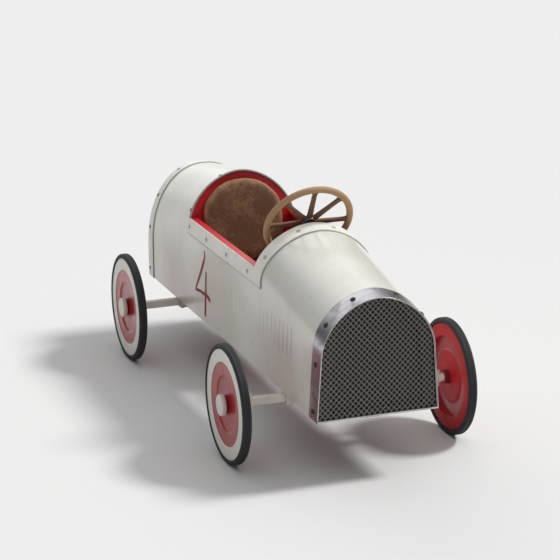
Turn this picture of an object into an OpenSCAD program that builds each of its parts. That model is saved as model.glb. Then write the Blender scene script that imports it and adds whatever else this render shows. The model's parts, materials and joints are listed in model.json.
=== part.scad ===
// Child's pedal racing car of sheet steel, chain driven, with disc wheels.
// Frame: the car faces -Y, +X is its left side, Z = 0 is the ground.
// X = 0 is the middle plane and Y = 0 the middle of the body's length.

/* [Body] */
// Length of the body from the nose band to the tail band
body_length = 1158; // [1100:1:1200]
// Height of the body's bottom edge above the ground
body_bottom_z = 139; // [138:0.5:141]
// Height of the cockpit sill
sill_z = 360; // [355:1:365]
// Thickness of the sheet steel of the skins
skin_t = 1.5; // [1:0.1:2]
// Thickness of the bands and strips that cover the sheet's edges
band_t = 1.2; // [0.8:0.1:1.5]
// Width of the polished band round the nose
nose_band_w = 47; // [40:1:55]
// Width of the band round the rear edge of the hood
hood_band_w = 45; // [38:1:50]
// Width of the band round the tail
tail_band_w = 38; // [30:1:45]
// Height of the strip along each sill
sill_strip_h = 35; // [28:1:38]

/* [Wheels] */
// Outer radius of the tyres, which is also the axles' height
wheel_r = 127; // [127:0.5:127.5]
// Distance between the two axles
wheelbase = 737; // [735:1:739]
// Distance from the nose to the front axle
nose_overhang = 208; // [206:1:210]
// X of the tyre's outer face
tyre_outer_x = 259.3; // [258:0.1:260]
// Width of the tyre
tyre_w = 19.8; // [18:0.1:20]
// Outer radius of the ivory ring on the wheel's face
ring_r = 116.2; // [115:0.1:117]
// Outer radius of the red disc inside the ring
disc_r = 89.4; // [86:0.1:91]
// Outer radius of the hub cap
cap_r = 22.9; // [21:0.1:24]

/* [Axles and steering] */
// Side of the square tubes that carry the wheels
beam_w = 16; // [15:0.5:16]
// Diameter of the stub axles and of the rear axle
axle_d = 10; // [9:0.5:10]
// X of the kingpins
kingpin_x = 218; // [217:0.5:219]
// Diameter of the kingpins and of the steering pins
pin_d = 6; // [5:0.5:6]
// Length of the steering arms, and of the arm on the column
steer_arm = 60; // [58:1:60]
// Y of the middle of the steering wheel
hub_y = -182.6; // [-184:0.1:-181]
// Height of the middle of the steering wheel
hub_z = 445; // [443:0.5:447]
// Angle of the steering column from the vertical
column_tilt = 60.6; // [60:0.1:61]
// Radius of the steering wheel to the middle of its rim
rim_r = 93.7; // [90:0.1:96]
// Diameter of the steering wheel's rim
rim_d = 14.8; // [12:0.1:16]

/* [Drive] */
// Y of the middle of the pedal crank
crank_y = -217; // [-219:1:-215]
// Height of the middle of the pedal crank
crank_z = 210; // [208:1:212]
// Throw of the pedal crank
crank_r = 60; // [56:1:60]
// X of the middle of the chain
chain_x = 15; // [14.5:0.5:15.5]
// Number of teeth of the front sprocket
front_teeth = 18; // [18:1:18]
// Number of teeth of the rear sprocket
rear_teeth = 12; // [12:1:12]
// Pitch of the chain
chain_pitch = 12.7; // [12.7:0.1:12.7]

/* [Seat] */
// Height of the underside of the seat base
seat_base_z = 208; // [207:0.5:210]
// Height of the top of the seat cushion
seat_top_z = 238; // [234:1:240]
// Half width of the seat back pad
pad_half_w = 99.7; // [90:0.1:102]
// Thickness of the seat back pad
pad_t = 20; // [16:0.5:20]

/* [Hidden] */
$fn = 64;
GAP = 0.05;          // radial clearance of a running fit
IVORY = "#E4E2D8";
RED = "#9B1C22";
STEEL = "#8F8F94";
DARK = "#3A3A3A";
TAN = "#A9825A";
LEATHER = "#5E4434";

nose_y = -body_length / 2;
tail_y = body_length / 2;
front_axle_y = nose_y + nose_overhang;
rear_axle_y = front_axle_y + wheelbase;

// A body section: [y at the sill, slant, half width, spring height, rise, roundness, lean]
NOSE = [nose_y, 0, 122, 273, 113.7, 1.84, 0.067];
HOOD = [-190.5, -0.217, 127.8, 343, 107.3, 1.84, 0];
COWL = [257.5, 0.107, 131.7, 334, 127.5, 1.84, 0];
TAIL = [tail_y, 0, 134.5, 217.3, 197.2, 2.15, 0];
SKIN_INSET = 2;      // the bands stand this far past the skin's ends
BAND_GAP = 0.3;      // paint's thickness between the skin and what lies on it
FRAME_GAP = 1.3;     // felt between the skin and the hoops and plates inside it
ARCH_STEPS = 40;     // segments round an arch
rail_in = 100;       // inner and outer X of the chassis rails
rail_out = 116;
rail_h = 16;
rail_top = body_bottom_z + rail_h;

function mix(a, b, t) = a * (1 - t) + b * t;
// half width of section s at height z, grown by off
function half_width(s, z, off = 0) =
    z < s[3] ? s[2] + off + s[6] * (s[3] - z)
             : (s[2] + off) * pow(max(0, 1 - pow((z - s[3]) / (s[4] + off), s[5])), 1 / s[5]);
function slant_y(s, z) = s[0] + s[1] * max(0, z - sill_z);
function arch_x(s, a, off) = (s[2] + off) * sign(cos(a)) * pow(abs(cos(a)), 2 / s[5]);
function arch_z(s, a, off) = s[3] + (s[4] + off) * pow(abs(sin(a)), 2 / s[5]);
// angle at which the arch of section s starts, above a foot at height low
function arch_start(s, off, low) =
    low < s[3] - 1 ? 0 : 2 + asin(pow(max(0, (low - s[3]) / (s[4] + off)), s[5] / 2));
// outline of section s, from its right foot over the top to its left foot
function outline(s, off, low) = concat(
    [[half_width(s, low, off), low]],
    [for (i = [0:ARCH_STEPS])
        let (a0 = arch_start(s, off, low), a = a0 + (180 - 2 * a0) * i / ARCH_STEPS)
        [arch_x(s, a, off), arch_z(s, a, off)]],
    [[-half_width(s, low, off), low]]);
// the outline in space, moved dy along Y
function ring3(s, off, low, dy = 0) =
    [for (p = outline(s, off, low)) [p[0], slant_y(s, p[1]) + dy, p[1]]];
// upright sections at a given y, in the hood and in the tail
function hood_at(y) =
    let (t = (y - NOSE[0]) / (HOOD[0] - NOSE[0]),
         top_t = (y - NOSE[0]) / (HOOD[0] + HOOD[1] * 90 - NOSE[0]),
         s = mix(NOSE, HOOD, t),
         top = mix(NOSE[3] + NOSE[4], HOOD[3] + HOOD[4], min(1, top_t)))
    [y, 0, s[2], s[3], top - s[3], s[5], s[6]];
function tail_at(y) =
    let (t = (y - COWL[0]) / (TAIL[0] - COWL[0]),
         top_t = (y - COWL[0] - COWL[1] * 101) / (TAIL[0] - COWL[0] - COWL[1] * 101),
         s = mix(COWL, TAIL, max(0, t)),
         top = mix(COWL[3] + COWL[4], TAIL[3] + TAIL[4], max(0, top_t)))
    [y, 0, s[2], s[3], top - s[3], s[5], s[6]];

// ---- sheet metal helpers ----

// closed sheet between matching outer and inner rings, given as lists of rings in order of y
module sheet(outer, inner) {
    K = len(outer);
    M = len(outer[0]);
    pts = [for (k = [0:K - 1]) for (p = concat(outer[k], inner[k])) p];
    function o(k, i) = k * 2 * M + i;
    function n(k, i) = k * 2 * M + M + i;
    skin_faces = [for (k = [0:K - 2]) for (i = [0:M - 2]) for (f = [
        [o(k, i), o(k, i + 1), o(k + 1, i + 1)], [o(k, i), o(k + 1, i + 1), o(k + 1, i)],
        [n(k, i), n(k + 1, i + 1), n(k, i + 1)], [n(k, i), n(k + 1, i), n(k + 1, i + 1)]]) f];
    end_faces = [for (i = [0:M - 2]) for (f = [
        [o(0, i), n(0, i), n(0, i + 1)], [o(0, i), n(0, i + 1), o(0, i + 1)],
        [o(K - 1, i), n(K - 1, i + 1), n(K - 1, i)],
        [o(K - 1, i), o(K - 1, i + 1), n(K - 1, i + 1)]]) f];
    foot_faces = [for (k = [0:K - 2]) for (f = [
        [o(k, 0), o(k + 1, 0), n(k + 1, 0)], [o(k, 0), n(k + 1, 0), n(k, 0)],
        [o(k, M - 1), n(k + 1, M - 1), o(k + 1, M - 1)],
        [o(k, M - 1), n(k, M - 1), n(k + 1, M - 1)]]) f];
    polyhedron(pts, concat(skin_faces, end_faces, foot_faces));
}

// skin between two sections in steps, with the first one moved by dy0 and the last by dy1
module arch_skin(a, b, steps, dy0 = 0, dy1 = 0) {
    at = [for (k = [0:steps]) k / steps];
    sheet([for (t = at) ring3(mix(a, b, t), 0, body_bottom_z, mix(dy0, dy1, t))],
          [for (t = at) ring3(mix(a, b, t), -skin_t, body_bottom_z, mix(dy0, dy1, t))]);
}

// band laid on the skin from section s0 to s1, with its feet at low0 and low1
module arch_band(s0, s1, low0, low1) {
    STEPS = 6;
    function edge(k, off) = ring3(mix(s0, s1, k / STEPS), off, mix(low0, low1, k / STEPS));
    sheet([for (k = [0:STEPS]) edge(k, band_t + BAND_GAP)],
          [for (k = [0:STEPS]) edge(k, BAND_GAP)]);
}

// sheet on one side of the cockpit between the hood and the cowl
module side_sheet(side, low, off, t, front_cut = 0) {
    STEPS = 6;
    zs = concat([low], [for (z = [sill_z - 32:8:sill_z - 8]) if (z > low + 1) z], [sill_z]);
    function wall(k, grow) = [for (z = zs) let (s = mix(HOOD, COWL, k / STEPS))
        [half_width(s, z, grow), s[0] - (k == 0 ? front_cut * (sill_z - z) / (sill_z - low) : 0), z]];
    mirror([side < 0 ? 1 : 0, 0, 0])
        sheet([for (k = [0:STEPS]) wall(k, off)], [for (k = [0:STEPS]) wall(k, off - t)]);
}
// flat plate across section s, t thick behind y
module plate_at(s, y, t, off) {
    translate([0, y + t, 0]) rotate([90, 0, 0]) linear_extrude(t)
        polygon(outline(s, off, body_bottom_z));
}
// flat hoop under section s, depth deep, open at the bottom
module hoop_at(s, y, t, depth, low = body_bottom_z + rail_h + GAP) {
    translate([0, y + t, 0]) rotate([90, 0, 0]) linear_extrude(t)
        difference() {
            polygon(outline(s, -skin_t - FRAME_GAP, low));
            polygon(outline(s, -skin_t - depth, low - 1));
        }
}
// a point on the outside of the section that lies a share t of the way from a to b
function skin_point(a, b, t, side, z, off) =
    let (s = mix(a, b, t)) [side * half_width(s, z, off), slant_y(s, z), z];
// direction straight out of the sheet at that point
function skin_normal(a, b, t, side, z, off) =
    let (up = skin_point(a, b, t, side, z + 2, off) - skin_point(a, b, t, side, z - 2, off),
         back = skin_point(a, b, t + 0.01, side, z, off) - skin_point(a, b, t - 0.01, side, z, off),
         out = side * cross(back, up))
    out / norm(out);
// round head of a screw on the outside of that section, at height z on one side
SCREW_LIFT = 0.4;    // gap under a screw's flat head on the curved sheet
module screw_head(a, b, t, side, z, off, d, h) {
    n = skin_normal(a, b, t, side, z, off);
    translate(skin_point(a, b, t, side, z, off)) rotate([0, acos(n[2]), atan2(n[1], n[0])])
        translate([0, 0, SCREW_LIFT]) {
        cylinder(d = d, h = h * 0.4);
        translate([0, 0, h * 0.4]) cylinder(d1 = d, d2 = d * 0.55, h = h * 0.6);
    }
}

// ---- body ----

module hood_skin() color(IVORY) arch_skin(NOSE, HOOD, 8, SKIN_INSET, 0);
module tail_skin() color(IVORY) arch_skin(COWL, TAIL, 8, 0, -SKIN_INSET);
module side_panel_left() color(IVORY) side_sheet(1, body_bottom_z, 0, skin_t);
module side_panel_right() color(IVORY) side_sheet(-1, body_bottom_z, 0, skin_t);

NOSE_RING_T = 12;    // thickness of the wooden ring behind the grille
NOSE_RING_H = 14;    // depth of that ring
MESH_T = 2;          // two crossed layers of wire
mesh_y = nose_y + 4;
module nose_band() color(STEEL)
    arch_band(NOSE, mix(NOSE, HOOD, nose_band_w / (HOOD[0] - NOSE[0])), body_bottom_z, body_bottom_z);
module nose_ring() color(DARK) {
    s = hood_at(mesh_y + MESH_T);
    difference() {
        plate_at(s, mesh_y + MESH_T, NOSE_RING_T, -skin_t - FRAME_GAP);
        translate([0, 0, NOSE_RING_H])
            plate_at(s, mesh_y + MESH_T - 1, NOSE_RING_T + 2, -skin_t - 2 * NOSE_RING_H);
    }
}
module nose_backing() color("#26221F") {
    y = mesh_y + MESH_T + NOSE_RING_T;
    plate_at(hood_at(y), y, 1.5, -skin_t - FRAME_GAP);
}
// One layer of the grille's wires, leaning one way. Each wire runs as far as the nose reaches.
MESH_PITCH = 11.9;   // width of a mesh
MESH_LEAN = 1.05;    // height of a mesh divided by its width
WIRE_W = 1.5;
module wire_layer(lean) {
    s = NOSE;
    function inside(x, z) = z > body_bottom_z + 1 && z < s[3] + s[4] - skin_t
        && abs(x) < half_width(s, z, -skin_t - 1);
    top = s[3] + s[4];
    reach = s[2] + top / MESH_LEAN;
    for (c = [-reach:MESH_PITCH:reach]) {
        xs = [for (x = [-134:1:134]) let (z = body_bottom_z + lean * MESH_LEAN * (x - c))
            if (inside(x, z)) x];
        if (len(xs) > 4) {
            x0 = xs[0];
            x1 = xs[len(xs) - 1];
            z0 = body_bottom_z + lean * MESH_LEAN * (x0 - c);
            wire_len = (x1 - x0) * sqrt(1 + MESH_LEAN * MESH_LEAN);
            translate([x0, 0, z0]) rotate([0, -lean * atan(MESH_LEAN), 0])
                translate([0, 0, -WIRE_W / 2]) cube([wire_len, MESH_T / 2, WIRE_W]);
        }
    }
}
module nose_mesh() color("#77746C") {
    translate([0, mesh_y, 0]) wire_layer(1);
    translate([0, mesh_y + MESH_T / 2, 0]) wire_layer(-1);
}

module nose_screws() color("#4A4A4E")
    for (side = [-1, 1]) for (z = [157, 255, 335, 382])
        screw_head(NOSE, HOOD, 26 / (HOOD[0] - NOSE[0]), side, z, band_t + BAND_GAP, 12.5, 2.8);
module trim_screws() color("#9A988F") {
    on_band = band_t + BAND_GAP;
    for (side = [-1, 1]) {
        for (z = [388, 441])
            screw_head(NOSE, HOOD, 1 - hood_band_w * 0.5 / (HOOD[0] - NOSE[0]), side, z, on_band, 9.5, 1.8);
        for (y = [-154, -16, 122, 246])
            screw_head(HOOD, COWL, (y - HOOD[0]) / (COWL[0] - HOOD[0]), side,
                       sill_z - sill_strip_h / 2, on_band, 9.5, 1.8);
        for (z = [376, 450]) screw_head(COWL, TAIL, 0.035, side, z, 0, 8.5, 1.8);
        for (z = [159, 264, 342, 403])
            screw_head(COWL, TAIL, 1 - 12 / (TAIL[0] - COWL[0]), side, z, on_band, 9, 2);
    }
}

module hood_band() color(IVORY) {
    t = 1 - hood_band_w / (HOOD[0] - NOSE[0]);
    arch_band(mix(NOSE, HOOD, t), HOOD, sill_z - sill_strip_h, sill_z);
}
module sill_strip(side)
    side_sheet(side, sill_z - sill_strip_h, band_t + BAND_GAP, band_t, hood_band_w);
module sill_strip_left() color(IVORY) sill_strip(1);
module sill_strip_right() color(IVORY) sill_strip(-1);

SILL_RAIL_W = 16;
SILL_RAIL_H = 8;
module sill_rail(side) {
    // inner flange of the sill, between the dash hoop and the bulkhead
    x = half_width(HOOD, sill_z, -skin_t);
    x_end = half_width(COWL, sill_z, -skin_t);
    y0 = HOOD[0];
    y1 = COWL[0] - 5;
    translate([0, 0, sill_z - SILL_RAIL_H]) linear_extrude(SILL_RAIL_H)
        polygon([[side * x, y0], [side * x_end, y1], [side * (x_end - SILL_RAIL_W), y1],
                 [side * (x - SILL_RAIL_W), y0]]);
}
module sill_rail_left() color(RED) sill_rail(1);
module sill_rail_right() color(RED) sill_rail(-1);

module tail_ring() color(DARK) {
    y = tail_y - 16;
    hoop_at(tail_at(y + 10), y, 10, 12, body_bottom_z);
}
module tail_panel() color(IVORY)
    plate_at(tail_at(tail_y - 6), tail_y - 6, 2, -skin_t - FRAME_GAP);
module tail_band() color(IVORY)
    arch_band(mix(COWL, TAIL, 1 - tail_band_w / (TAIL[0] - COWL[0])), TAIL, body_bottom_z, body_bottom_z);

// ---- chassis ----

RAIL_T = 2;
rail_y0 = mesh_y + MESH_T + NOSE_RING_T + 1.5;
rail_y1 = tail_y - 16;
module rail(side) {
    x0 = side > 0 ? rail_in : -rail_out;
    translate([x0, rail_y0, body_bottom_z]) difference() {
        cube([rail_out - rail_in, rail_y1 - rail_y0, rail_h]);
        translate([RAIL_T, -1, RAIL_T])
            cube([rail_out - rail_in - 2 * RAIL_T, rail_y1 - rail_y0 + 2, rail_h - 2 * RAIL_T]);
    }
}
module chassis_rail_left() color(RED) rail(1);
module chassis_rail_right() color(RED) rail(-1);
module cross_members() color(RED)
    for (y = [-470, -140, 120, 440])
        translate([-rail_in, y, body_bottom_z]) difference() {
            cube([2 * rail_in, rail_h, rail_h]);
            translate([-1, RAIL_T, RAIL_T])
                cube([2 * rail_in + 2, rail_h - 2 * RAIL_T, rail_h - 2 * RAIL_T]);
        }

// square bar or tube along X between two places, centred on an axle
module beam_bar(x0, x1, y) {
    translate([x0, y - beam_w / 2, wheel_r - beam_w / 2]) cube([x1 - x0, beam_w, beam_w]);
}

EAR_T = 6;
EAR_IN = 11;         // half the height of the gap between a yoke's ears
YOKE_X = kingpin_x - 12;
module yoke(side) {
    mirror([side < 0 ? 1 : 0, 0, 0]) difference() {
        union() {
            translate([YOKE_X - 6, front_axle_y - 9, wheel_r - EAR_IN - EAR_T])
                cube([6, 18, 2 * (EAR_IN + EAR_T)]);
            for (z = [wheel_r + EAR_IN, wheel_r - EAR_IN - EAR_T]) {
                translate([YOKE_X - 1, front_axle_y - 9, z])
                    cube([kingpin_x - YOKE_X + 1, 18, EAR_T]);
                translate([kingpin_x, front_axle_y, z]) cylinder(r = 9, h = EAR_T);
            }
        }
        translate([kingpin_x, front_axle_y, wheel_r - 30]) cylinder(d = pin_d, h = 60);
    }
}
module front_beam() color(IVORY) {
    beam_bar(-YOKE_X + 6, YOKE_X - 6, front_axle_y);
    yoke(1);
    yoke(-1);
}
module kingpins() color(STEEL)
    for (side = [-1, 1]) translate([side * kingpin_x, front_axle_y, 0]) {
        translate([0, 0, wheel_r - 20]) cylinder(d = pin_d, h = 40);
        translate([0, 0, wheel_r + EAR_IN + EAR_T]) cylinder(d = 11, h = 3);
        translate([0, 0, wheel_r - EAR_IN - EAR_T - 3]) cylinder(d = 10, h = 3, $fn = 6);
    }

// saddle round a square tube, bolted up to a rail
CLAMP_X0 = 107;
CLAMP_X1 = 125;
module clamp(side, y) {
    x0 = side > 0 ? CLAMP_X0 : -CLAMP_X1;
    z0 = wheel_r - beam_w / 2 - 5;
    difference() {
        translate([x0, y - 13, z0]) cube([CLAMP_X1 - CLAMP_X0, 26, body_bottom_z - z0]);
        beam_bar(x0 - 1, x0 + CLAMP_X1 - CLAMP_X0 + 1, y);
    }
    translate([x0 + (CLAMP_X1 - CLAMP_X0) / 2, y, z0 - 4]) cylinder(d = 11, h = 4, $fn = 6);
}
module front_clamps() color(IVORY) for (side = [-1, 1]) clamp(side, front_axle_y);
module rear_clamps() color(IVORY) for (side = [-1, 1]) clamp(side, rear_axle_y);

HOUSING_END = 231;
SPROCKET_GAP = 13;
module housing(x0, x1) difference() {
    beam_bar(x0, x1, rear_axle_y);
    translate([x0 - 1, rear_axle_y, wheel_r]) rotate([0, 90, 0])
        cylinder(r = axle_d / 2 + GAP, h = x1 - x0 + 2);
}
module axle_housing_left() color(IVORY) housing(chain_x + SPROCKET_GAP, HOUSING_END);
module axle_housing_right() color(IVORY) housing(-HOUSING_END, chain_x - SPROCKET_GAP);

// ---- wheels ----

tyre_inner_x = tyre_outer_x - tyre_w;
ring_x = tyre_outer_x - 2;       // outer face of the ivory ring
PLATE_T = 2;
HUB_R = 17;
HUB_IN = 236;                    // inner end of the hub
HUB_OUT = 262;
CAP_X = 269;

// puts a wheel's profile, drawn as [radius, x], on the axle of one side
module on_axle(side, y) translate([0, y, wheel_r]) rotate([0, side * 90, 0]) children();

module tyre(side, y) color("#1C1C1E") on_axle(side, y) rotate_extrude($fn = 96) {
    polygon([[112, tyre_inner_x + 4.6], [ring_r + 0.2, tyre_inner_x + 4.6],
             [ring_r + 0.2, tyre_inner_x + 1], [119, tyre_inner_x],
             [124.5, tyre_inner_x + 0.8], [wheel_r, tyre_inner_x + 4],
             [wheel_r, tyre_outer_x - 4], [124.5, tyre_outer_x - 0.8],
             [119, tyre_outer_x], [ring_r + 0.2, tyre_outer_x - 0.9],
             [ring_r + 0.2, ring_x - PLATE_T - 0.1], [112, ring_x - PLATE_T - 0.1]]);
}
// pressed steel wheel: box rim with an ivory face, dished red disc and hub
module disc_wheel(side, y, bore_r) color(RED) on_axle(side, y) rotate_extrude($fn = 96) {
    inner_x = tyre_inner_x + 2.5;
    polygon([[bore_r, HUB_IN], [HUB_R - 2, HUB_IN], [HUB_R - 2, 247], [30, 248.5],
             [55, 249], [60, 251.5], [disc_r - 1.5, 252.5], [disc_r - 1.5, inner_x + 1],
             [disc_r, inner_x], [ring_r - 2, inner_x], [ring_r - 1, inner_x + 1],
             [ring_r - 1, inner_x + PLATE_T], [disc_r + 2, inner_x + PLATE_T],
             [disc_r + 2, ring_x - PLATE_T], [ring_r, ring_x - PLATE_T],
             [ring_r, ring_x - 0.5], [ring_r - 0.5, ring_x], [disc_r + 1, ring_x],
             [disc_r, ring_x - 1.5], [disc_r - 2, ring_x - 2.2], [61, ring_x - 3.2],
             [57, ring_x - 6], [32, ring_x - 6.3], [HUB_R + 2, ring_x - 5],
             [HUB_R, ring_x - 3], [HUB_R, HUB_OUT], [bore_r, HUB_OUT]]);
}
module hub_cap(side, y) color(IVORY) on_axle(side, y) rotate_extrude()
    polygon([[HUB_R, 259.5], [cap_r - 0.6, 259.5], [cap_r, 260.1], [cap_r, CAP_X - 1.6],
             [cap_r - 1.6, CAP_X], [0, CAP_X], [0, CAP_X - 2.2], [HUB_R + 2.5, CAP_X - 2.2],
             [HUB_R + 2.5, HUB_OUT + 0.2], [HUB_R, HUB_OUT + 0.2]]);

free_bore = axle_d / 2 + GAP;
module front_left_tyre() tyre(1, front_axle_y);
module front_left_wheel() disc_wheel(1, front_axle_y, free_bore);
module front_left_cap() hub_cap(1, front_axle_y);
module front_right_tyre() tyre(-1, front_axle_y);
module front_right_wheel() disc_wheel(-1, front_axle_y, free_bore);
module front_right_cap() hub_cap(-1, front_axle_y);
module rear_left_tyre() tyre(1, rear_axle_y);
module rear_left_wheel() disc_wheel(1, rear_axle_y, free_bore);
module rear_left_cap() hub_cap(1, rear_axle_y);
module rear_right_tyre() tyre(-1, rear_axle_y);
module rear_right_wheel() disc_wheel(-1, rear_axle_y, axle_d / 2);
module rear_right_cap() hub_cap(-1, rear_axle_y);

// ---- steering ----

ARM_Z = wheel_r - 9.5;           // underside of the steering arms
ARM_T = 6;
tie_z = ARM_Z - 7;               // height of the tie rod's middle
AXLE_END = 264.2;

module knuckle(side) mirror([side < 0 ? 1 : 0, 0, 0]) {
    difference() {
        union() {
            translate([kingpin_x, front_axle_y, wheel_r - EAR_IN + 0.4])
                cylinder(r = 8.5, h = 2 * EAR_IN - 0.8);
            translate([kingpin_x, front_axle_y - 5, ARM_Z]) cube([10, 10, 19]);
            translate([kingpin_x - 5, front_axle_y, ARM_Z]) cube([10, steer_arm, ARM_T]);
            translate([kingpin_x, front_axle_y + steer_arm, ARM_Z]) cylinder(r = 7, h = ARM_T);
        }
        translate([kingpin_x, front_axle_y, 0]) cylinder(r = pin_d / 2 + GAP, h = 300);
    }
    // stub axle with its shoulder and its retaining washer
    translate([kingpin_x + 8, front_axle_y, wheel_r]) rotate([0, 90, 0]) {
        cylinder(d = axle_d, h = AXLE_END - kingpin_x - 8);
        cylinder(d = 18, h = HUB_IN - 0.5 - kingpin_x - 8);
    }
    translate([HUB_OUT + 0.3, front_axle_y, wheel_r]) rotate([0, 90, 0]) cylinder(d = 16, h = 2.2);
    // pin that carries the tie rod's eye
    translate([kingpin_x, front_axle_y + steer_arm, tie_z - 8]) {
        cylinder(d = pin_d, h = ARM_Z - tie_z + 8);
        translate([0, 0, 1]) cylinder(d = 11, h = 2.8, $fn = 6);
    }
}
module knuckle_left() color(IVORY) knuckle(1);
module knuckle_right() color(IVORY) knuckle(-1);

// the steering column's own frame: z along the column up to the driver, y across it, downwards
module column_frame() translate([0, hub_y, hub_z]) rotate([-column_tilt, 0, 0]) children();

COLUMN_R = 7;
ARM_S = 167;                     // distances along the column, down from the wheel
ARM_PLATE_T = 5;
FORK_S = 179.1;
FORK_T = 4;
UPRIGHT_Y0 = front_axle_y + steer_arm + 4;
module steering_column() color(STEEL) column_frame() {
    translate([0, 0, -ARM_S - ARM_PLATE_T - 3]) cylinder(r = COLUMN_R, h = ARM_S + ARM_PLATE_T - 5);
    translate([-7, 0, -ARM_S - ARM_PLATE_T]) cube([14, steer_arm, ARM_PLATE_T]);
    translate([0, steer_arm, -ARM_S - ARM_PLATE_T]) cylinder(r = 7, h = ARM_PLATE_T);
    translate([0, 0, -ARM_S - ARM_PLATE_T]) cylinder(r = 11, h = ARM_PLATE_T);
    translate([0, steer_arm, -190]) cylinder(d = pin_d, h = 190 - ARM_S);
    translate([0, 0, -146]) cylinder(r = 10, h = 4);
}
SLOT_PLAY = 0.3;
PIN_LIFT = 2.9;                  // how far the pin climbs in the slot at full lock
module fork_slot() translate([0, steer_arm, -FORK_S - FORK_T - 1]) {
    r = pin_d / 2 + SLOT_PLAY;
    cylinder(r = r, h = FORK_T + 2);
    translate([0, -PIN_LIFT, 0]) cylinder(r = r, h = FORK_T + 2);
    translate([-r, -PIN_LIFT, 0]) cube([2 * r, PIN_LIFT, FORK_T + 2]);
}
module tie_rod() color(IVORY) {
    y = front_axle_y + steer_arm;
    difference() {
        union() {
            translate([-kingpin_x, y, tie_z]) rotate([0, 90, 0]) cylinder(r = 4, h = 2 * kingpin_x);
            for (side = [-1, 1]) translate([side * kingpin_x, y, tie_z - 4])
                cylinder(r = 8, h = 10.7);
            // foot and upright that reach up to the column's arm
            translate([-8, y - 4, tie_z - 4]) cube([16, 12, 8]);
            translate([-8, UPRIGHT_Y0, tie_z - 4]) cube([16, 4, 296 - tie_z + 4]);
            column_frame() translate([-12, 47, -FORK_S - FORK_T]) cube([24, 28, FORK_T]);
        }
        // right eye turns on its pin, left eye has play because it closes the linkage
        translate([-kingpin_x, y, tie_z - 20]) cylinder(r = pin_d / 2 + GAP, h = 40);
        translate([kingpin_x, y, tie_z - 20]) cylinder(r = pin_d / 2 + SLOT_PLAY, h = 40);
        column_frame() fork_slot();
    }
}

// hoop under the hood with a crossbar and a bearing for the column
module column_hoop(y, t, bar_z0, bar_z1, bearing_s, bearing_len) difference() {
    union() {
        hoop_at(hood_at(y + t / 2), y, t, 13);
        x = half_width(hood_at(y), bar_z1, -skin_t - 4);
        translate([-x, y, bar_z0]) cube([2 * x, t, bar_z1 - bar_z0]);
        column_frame() translate([0, 0, -bearing_s - bearing_len]) cylinder(r = 11, h = bearing_len);
        translate([-11, y, bar_z1 - 1]) cube([22, t, 12]);
    }
    column_frame() translate([0, 0, -200]) cylinder(r = COLUMN_R + GAP, h = 200);
}
module dash_hoop() color(RED) column_hoop(-216, 5, 398, 414, 28, 18);
module column_bracket() color(RED) column_hoop(-322, 5, 356, 372, 149, 16);

SPOKES = 8;
SPOKE_W = 10;
module steering_rim() color(TAN) column_frame() rotate_extrude($fn = 96)
    translate([rim_r, 0]) circle(d = rim_d, $fn = 32);
module steering_spider() color("#4B3426") column_frame() {
    for (i = [0:SPOKES - 1]) rotate([0, 0, i * 360 / SPOKES])
        translate([10, -SPOKE_W / 2, -3.5]) cube([rim_r - rim_d / 2 - 10.2, SPOKE_W, 7]);
    translate([0, 0, -8]) cylinder(r = 17, h = 14);
    translate([0, 0, 6]) cylinder(r1 = 9, r2 = 7, h = 4);
}

// ---- drive ----

AXLE_WASHER = 3;
module rear_axle() color(STEEL) translate([0, rear_axle_y, wheel_r]) rotate([0, 90, 0]) {
    translate([0, 0, -AXLE_END]) cylinder(d = axle_d, h = 2 * AXLE_END);
    for (side = [-1, 1]) {
        // retaining washer under the cap, and spacer between the housing and the hub
        translate([0, 0, side * (HUB_OUT + 1.4) - 1.1]) cylinder(d = 16, h = 2.2);
        translate([0, 0, side * 233.6 - 1.6]) cylinder(d = 16, h = 3.2);
    }
}

function pitch_r(teeth) = chain_pitch / (2 * sin(180 / teeth));
TOOTH_T = 3;
module sprocket(teeth, hub_r, hub_len, bore_r) difference() {
    r = pitch_r(teeth);
    step = 360 / teeth;
    union() {
        translate([0, 0, -TOOTH_T / 2]) linear_extrude(TOOTH_T)
            polygon([for (i = [0:teeth - 1]) for (c = [[-0.5, -4.2], [-0.3, -4.2], [-0.13, 3],
                [0.13, 3], [0.3, -4.2]]) let (a = (i + c[0]) * step)
                [(r + c[1]) * cos(a), (r + c[1]) * sin(a)]]);
        translate([0, 0, -hub_len / 2]) cylinder(r = hub_r, h = hub_len);
    }
    translate([0, 0, -50]) cylinder(r = bore_r, h = 100);
}
module rear_sprocket() color(DARK)
    translate([chain_x, rear_axle_y, wheel_r]) rotate([0, 90, 0])
        sprocket(rear_teeth, 11, 16, axle_d / 2);
module front_sprocket() color(DARK)
    translate([chain_x, crank_y, crank_z]) rotate([0, 90, 0])
        sprocket(front_teeth, 13, 12, axle_d / 2);

WEB_IN = 24;                     // inner faces of the crank webs
WEB_OUT = 85;
WEB_T = 6;
CRANK_END = 102;
CRANK_PIN_R = 4;
module crank_web(x, dir) {
    translate([x, 0, 0]) rotate([0, 90, 0]) {
        cylinder(r = 9, h = WEB_T);
        translate([-dir * crank_r, 0, 0]) cylinder(r = 8, h = WEB_T);
    }
    translate([x, -7, dir > 0 ? 0 : -crank_r]) cube([WEB_T, 14, crank_r]);
}
module pedal_crank() color(STEEL) translate([0, crank_y, crank_z]) {
    rotate([0, 90, 0]) translate([0, 0, -WEB_IN - 1]) cylinder(d = axle_d, h = 2 * WEB_IN + 2);
    for (side = [-1, 1]) {
        crank_web(side > 0 ? WEB_IN : -WEB_IN - WEB_T, side);
        crank_web(side > 0 ? WEB_OUT : -WEB_OUT - WEB_T, side);
        translate([side > 0 ? WEB_IN + 1 : -WEB_OUT - 1, 0, side * crank_r]) rotate([0, 90, 0])
            cylinder(r = CRANK_PIN_R, h = WEB_OUT - WEB_IN);
        translate([side > 0 ? WEB_OUT + 1 : -CRANK_END, 0, 0]) rotate([0, 90, 0])
            cylinder(d = axle_d, h = CRANK_END - WEB_OUT - 1);
    }
}
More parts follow.
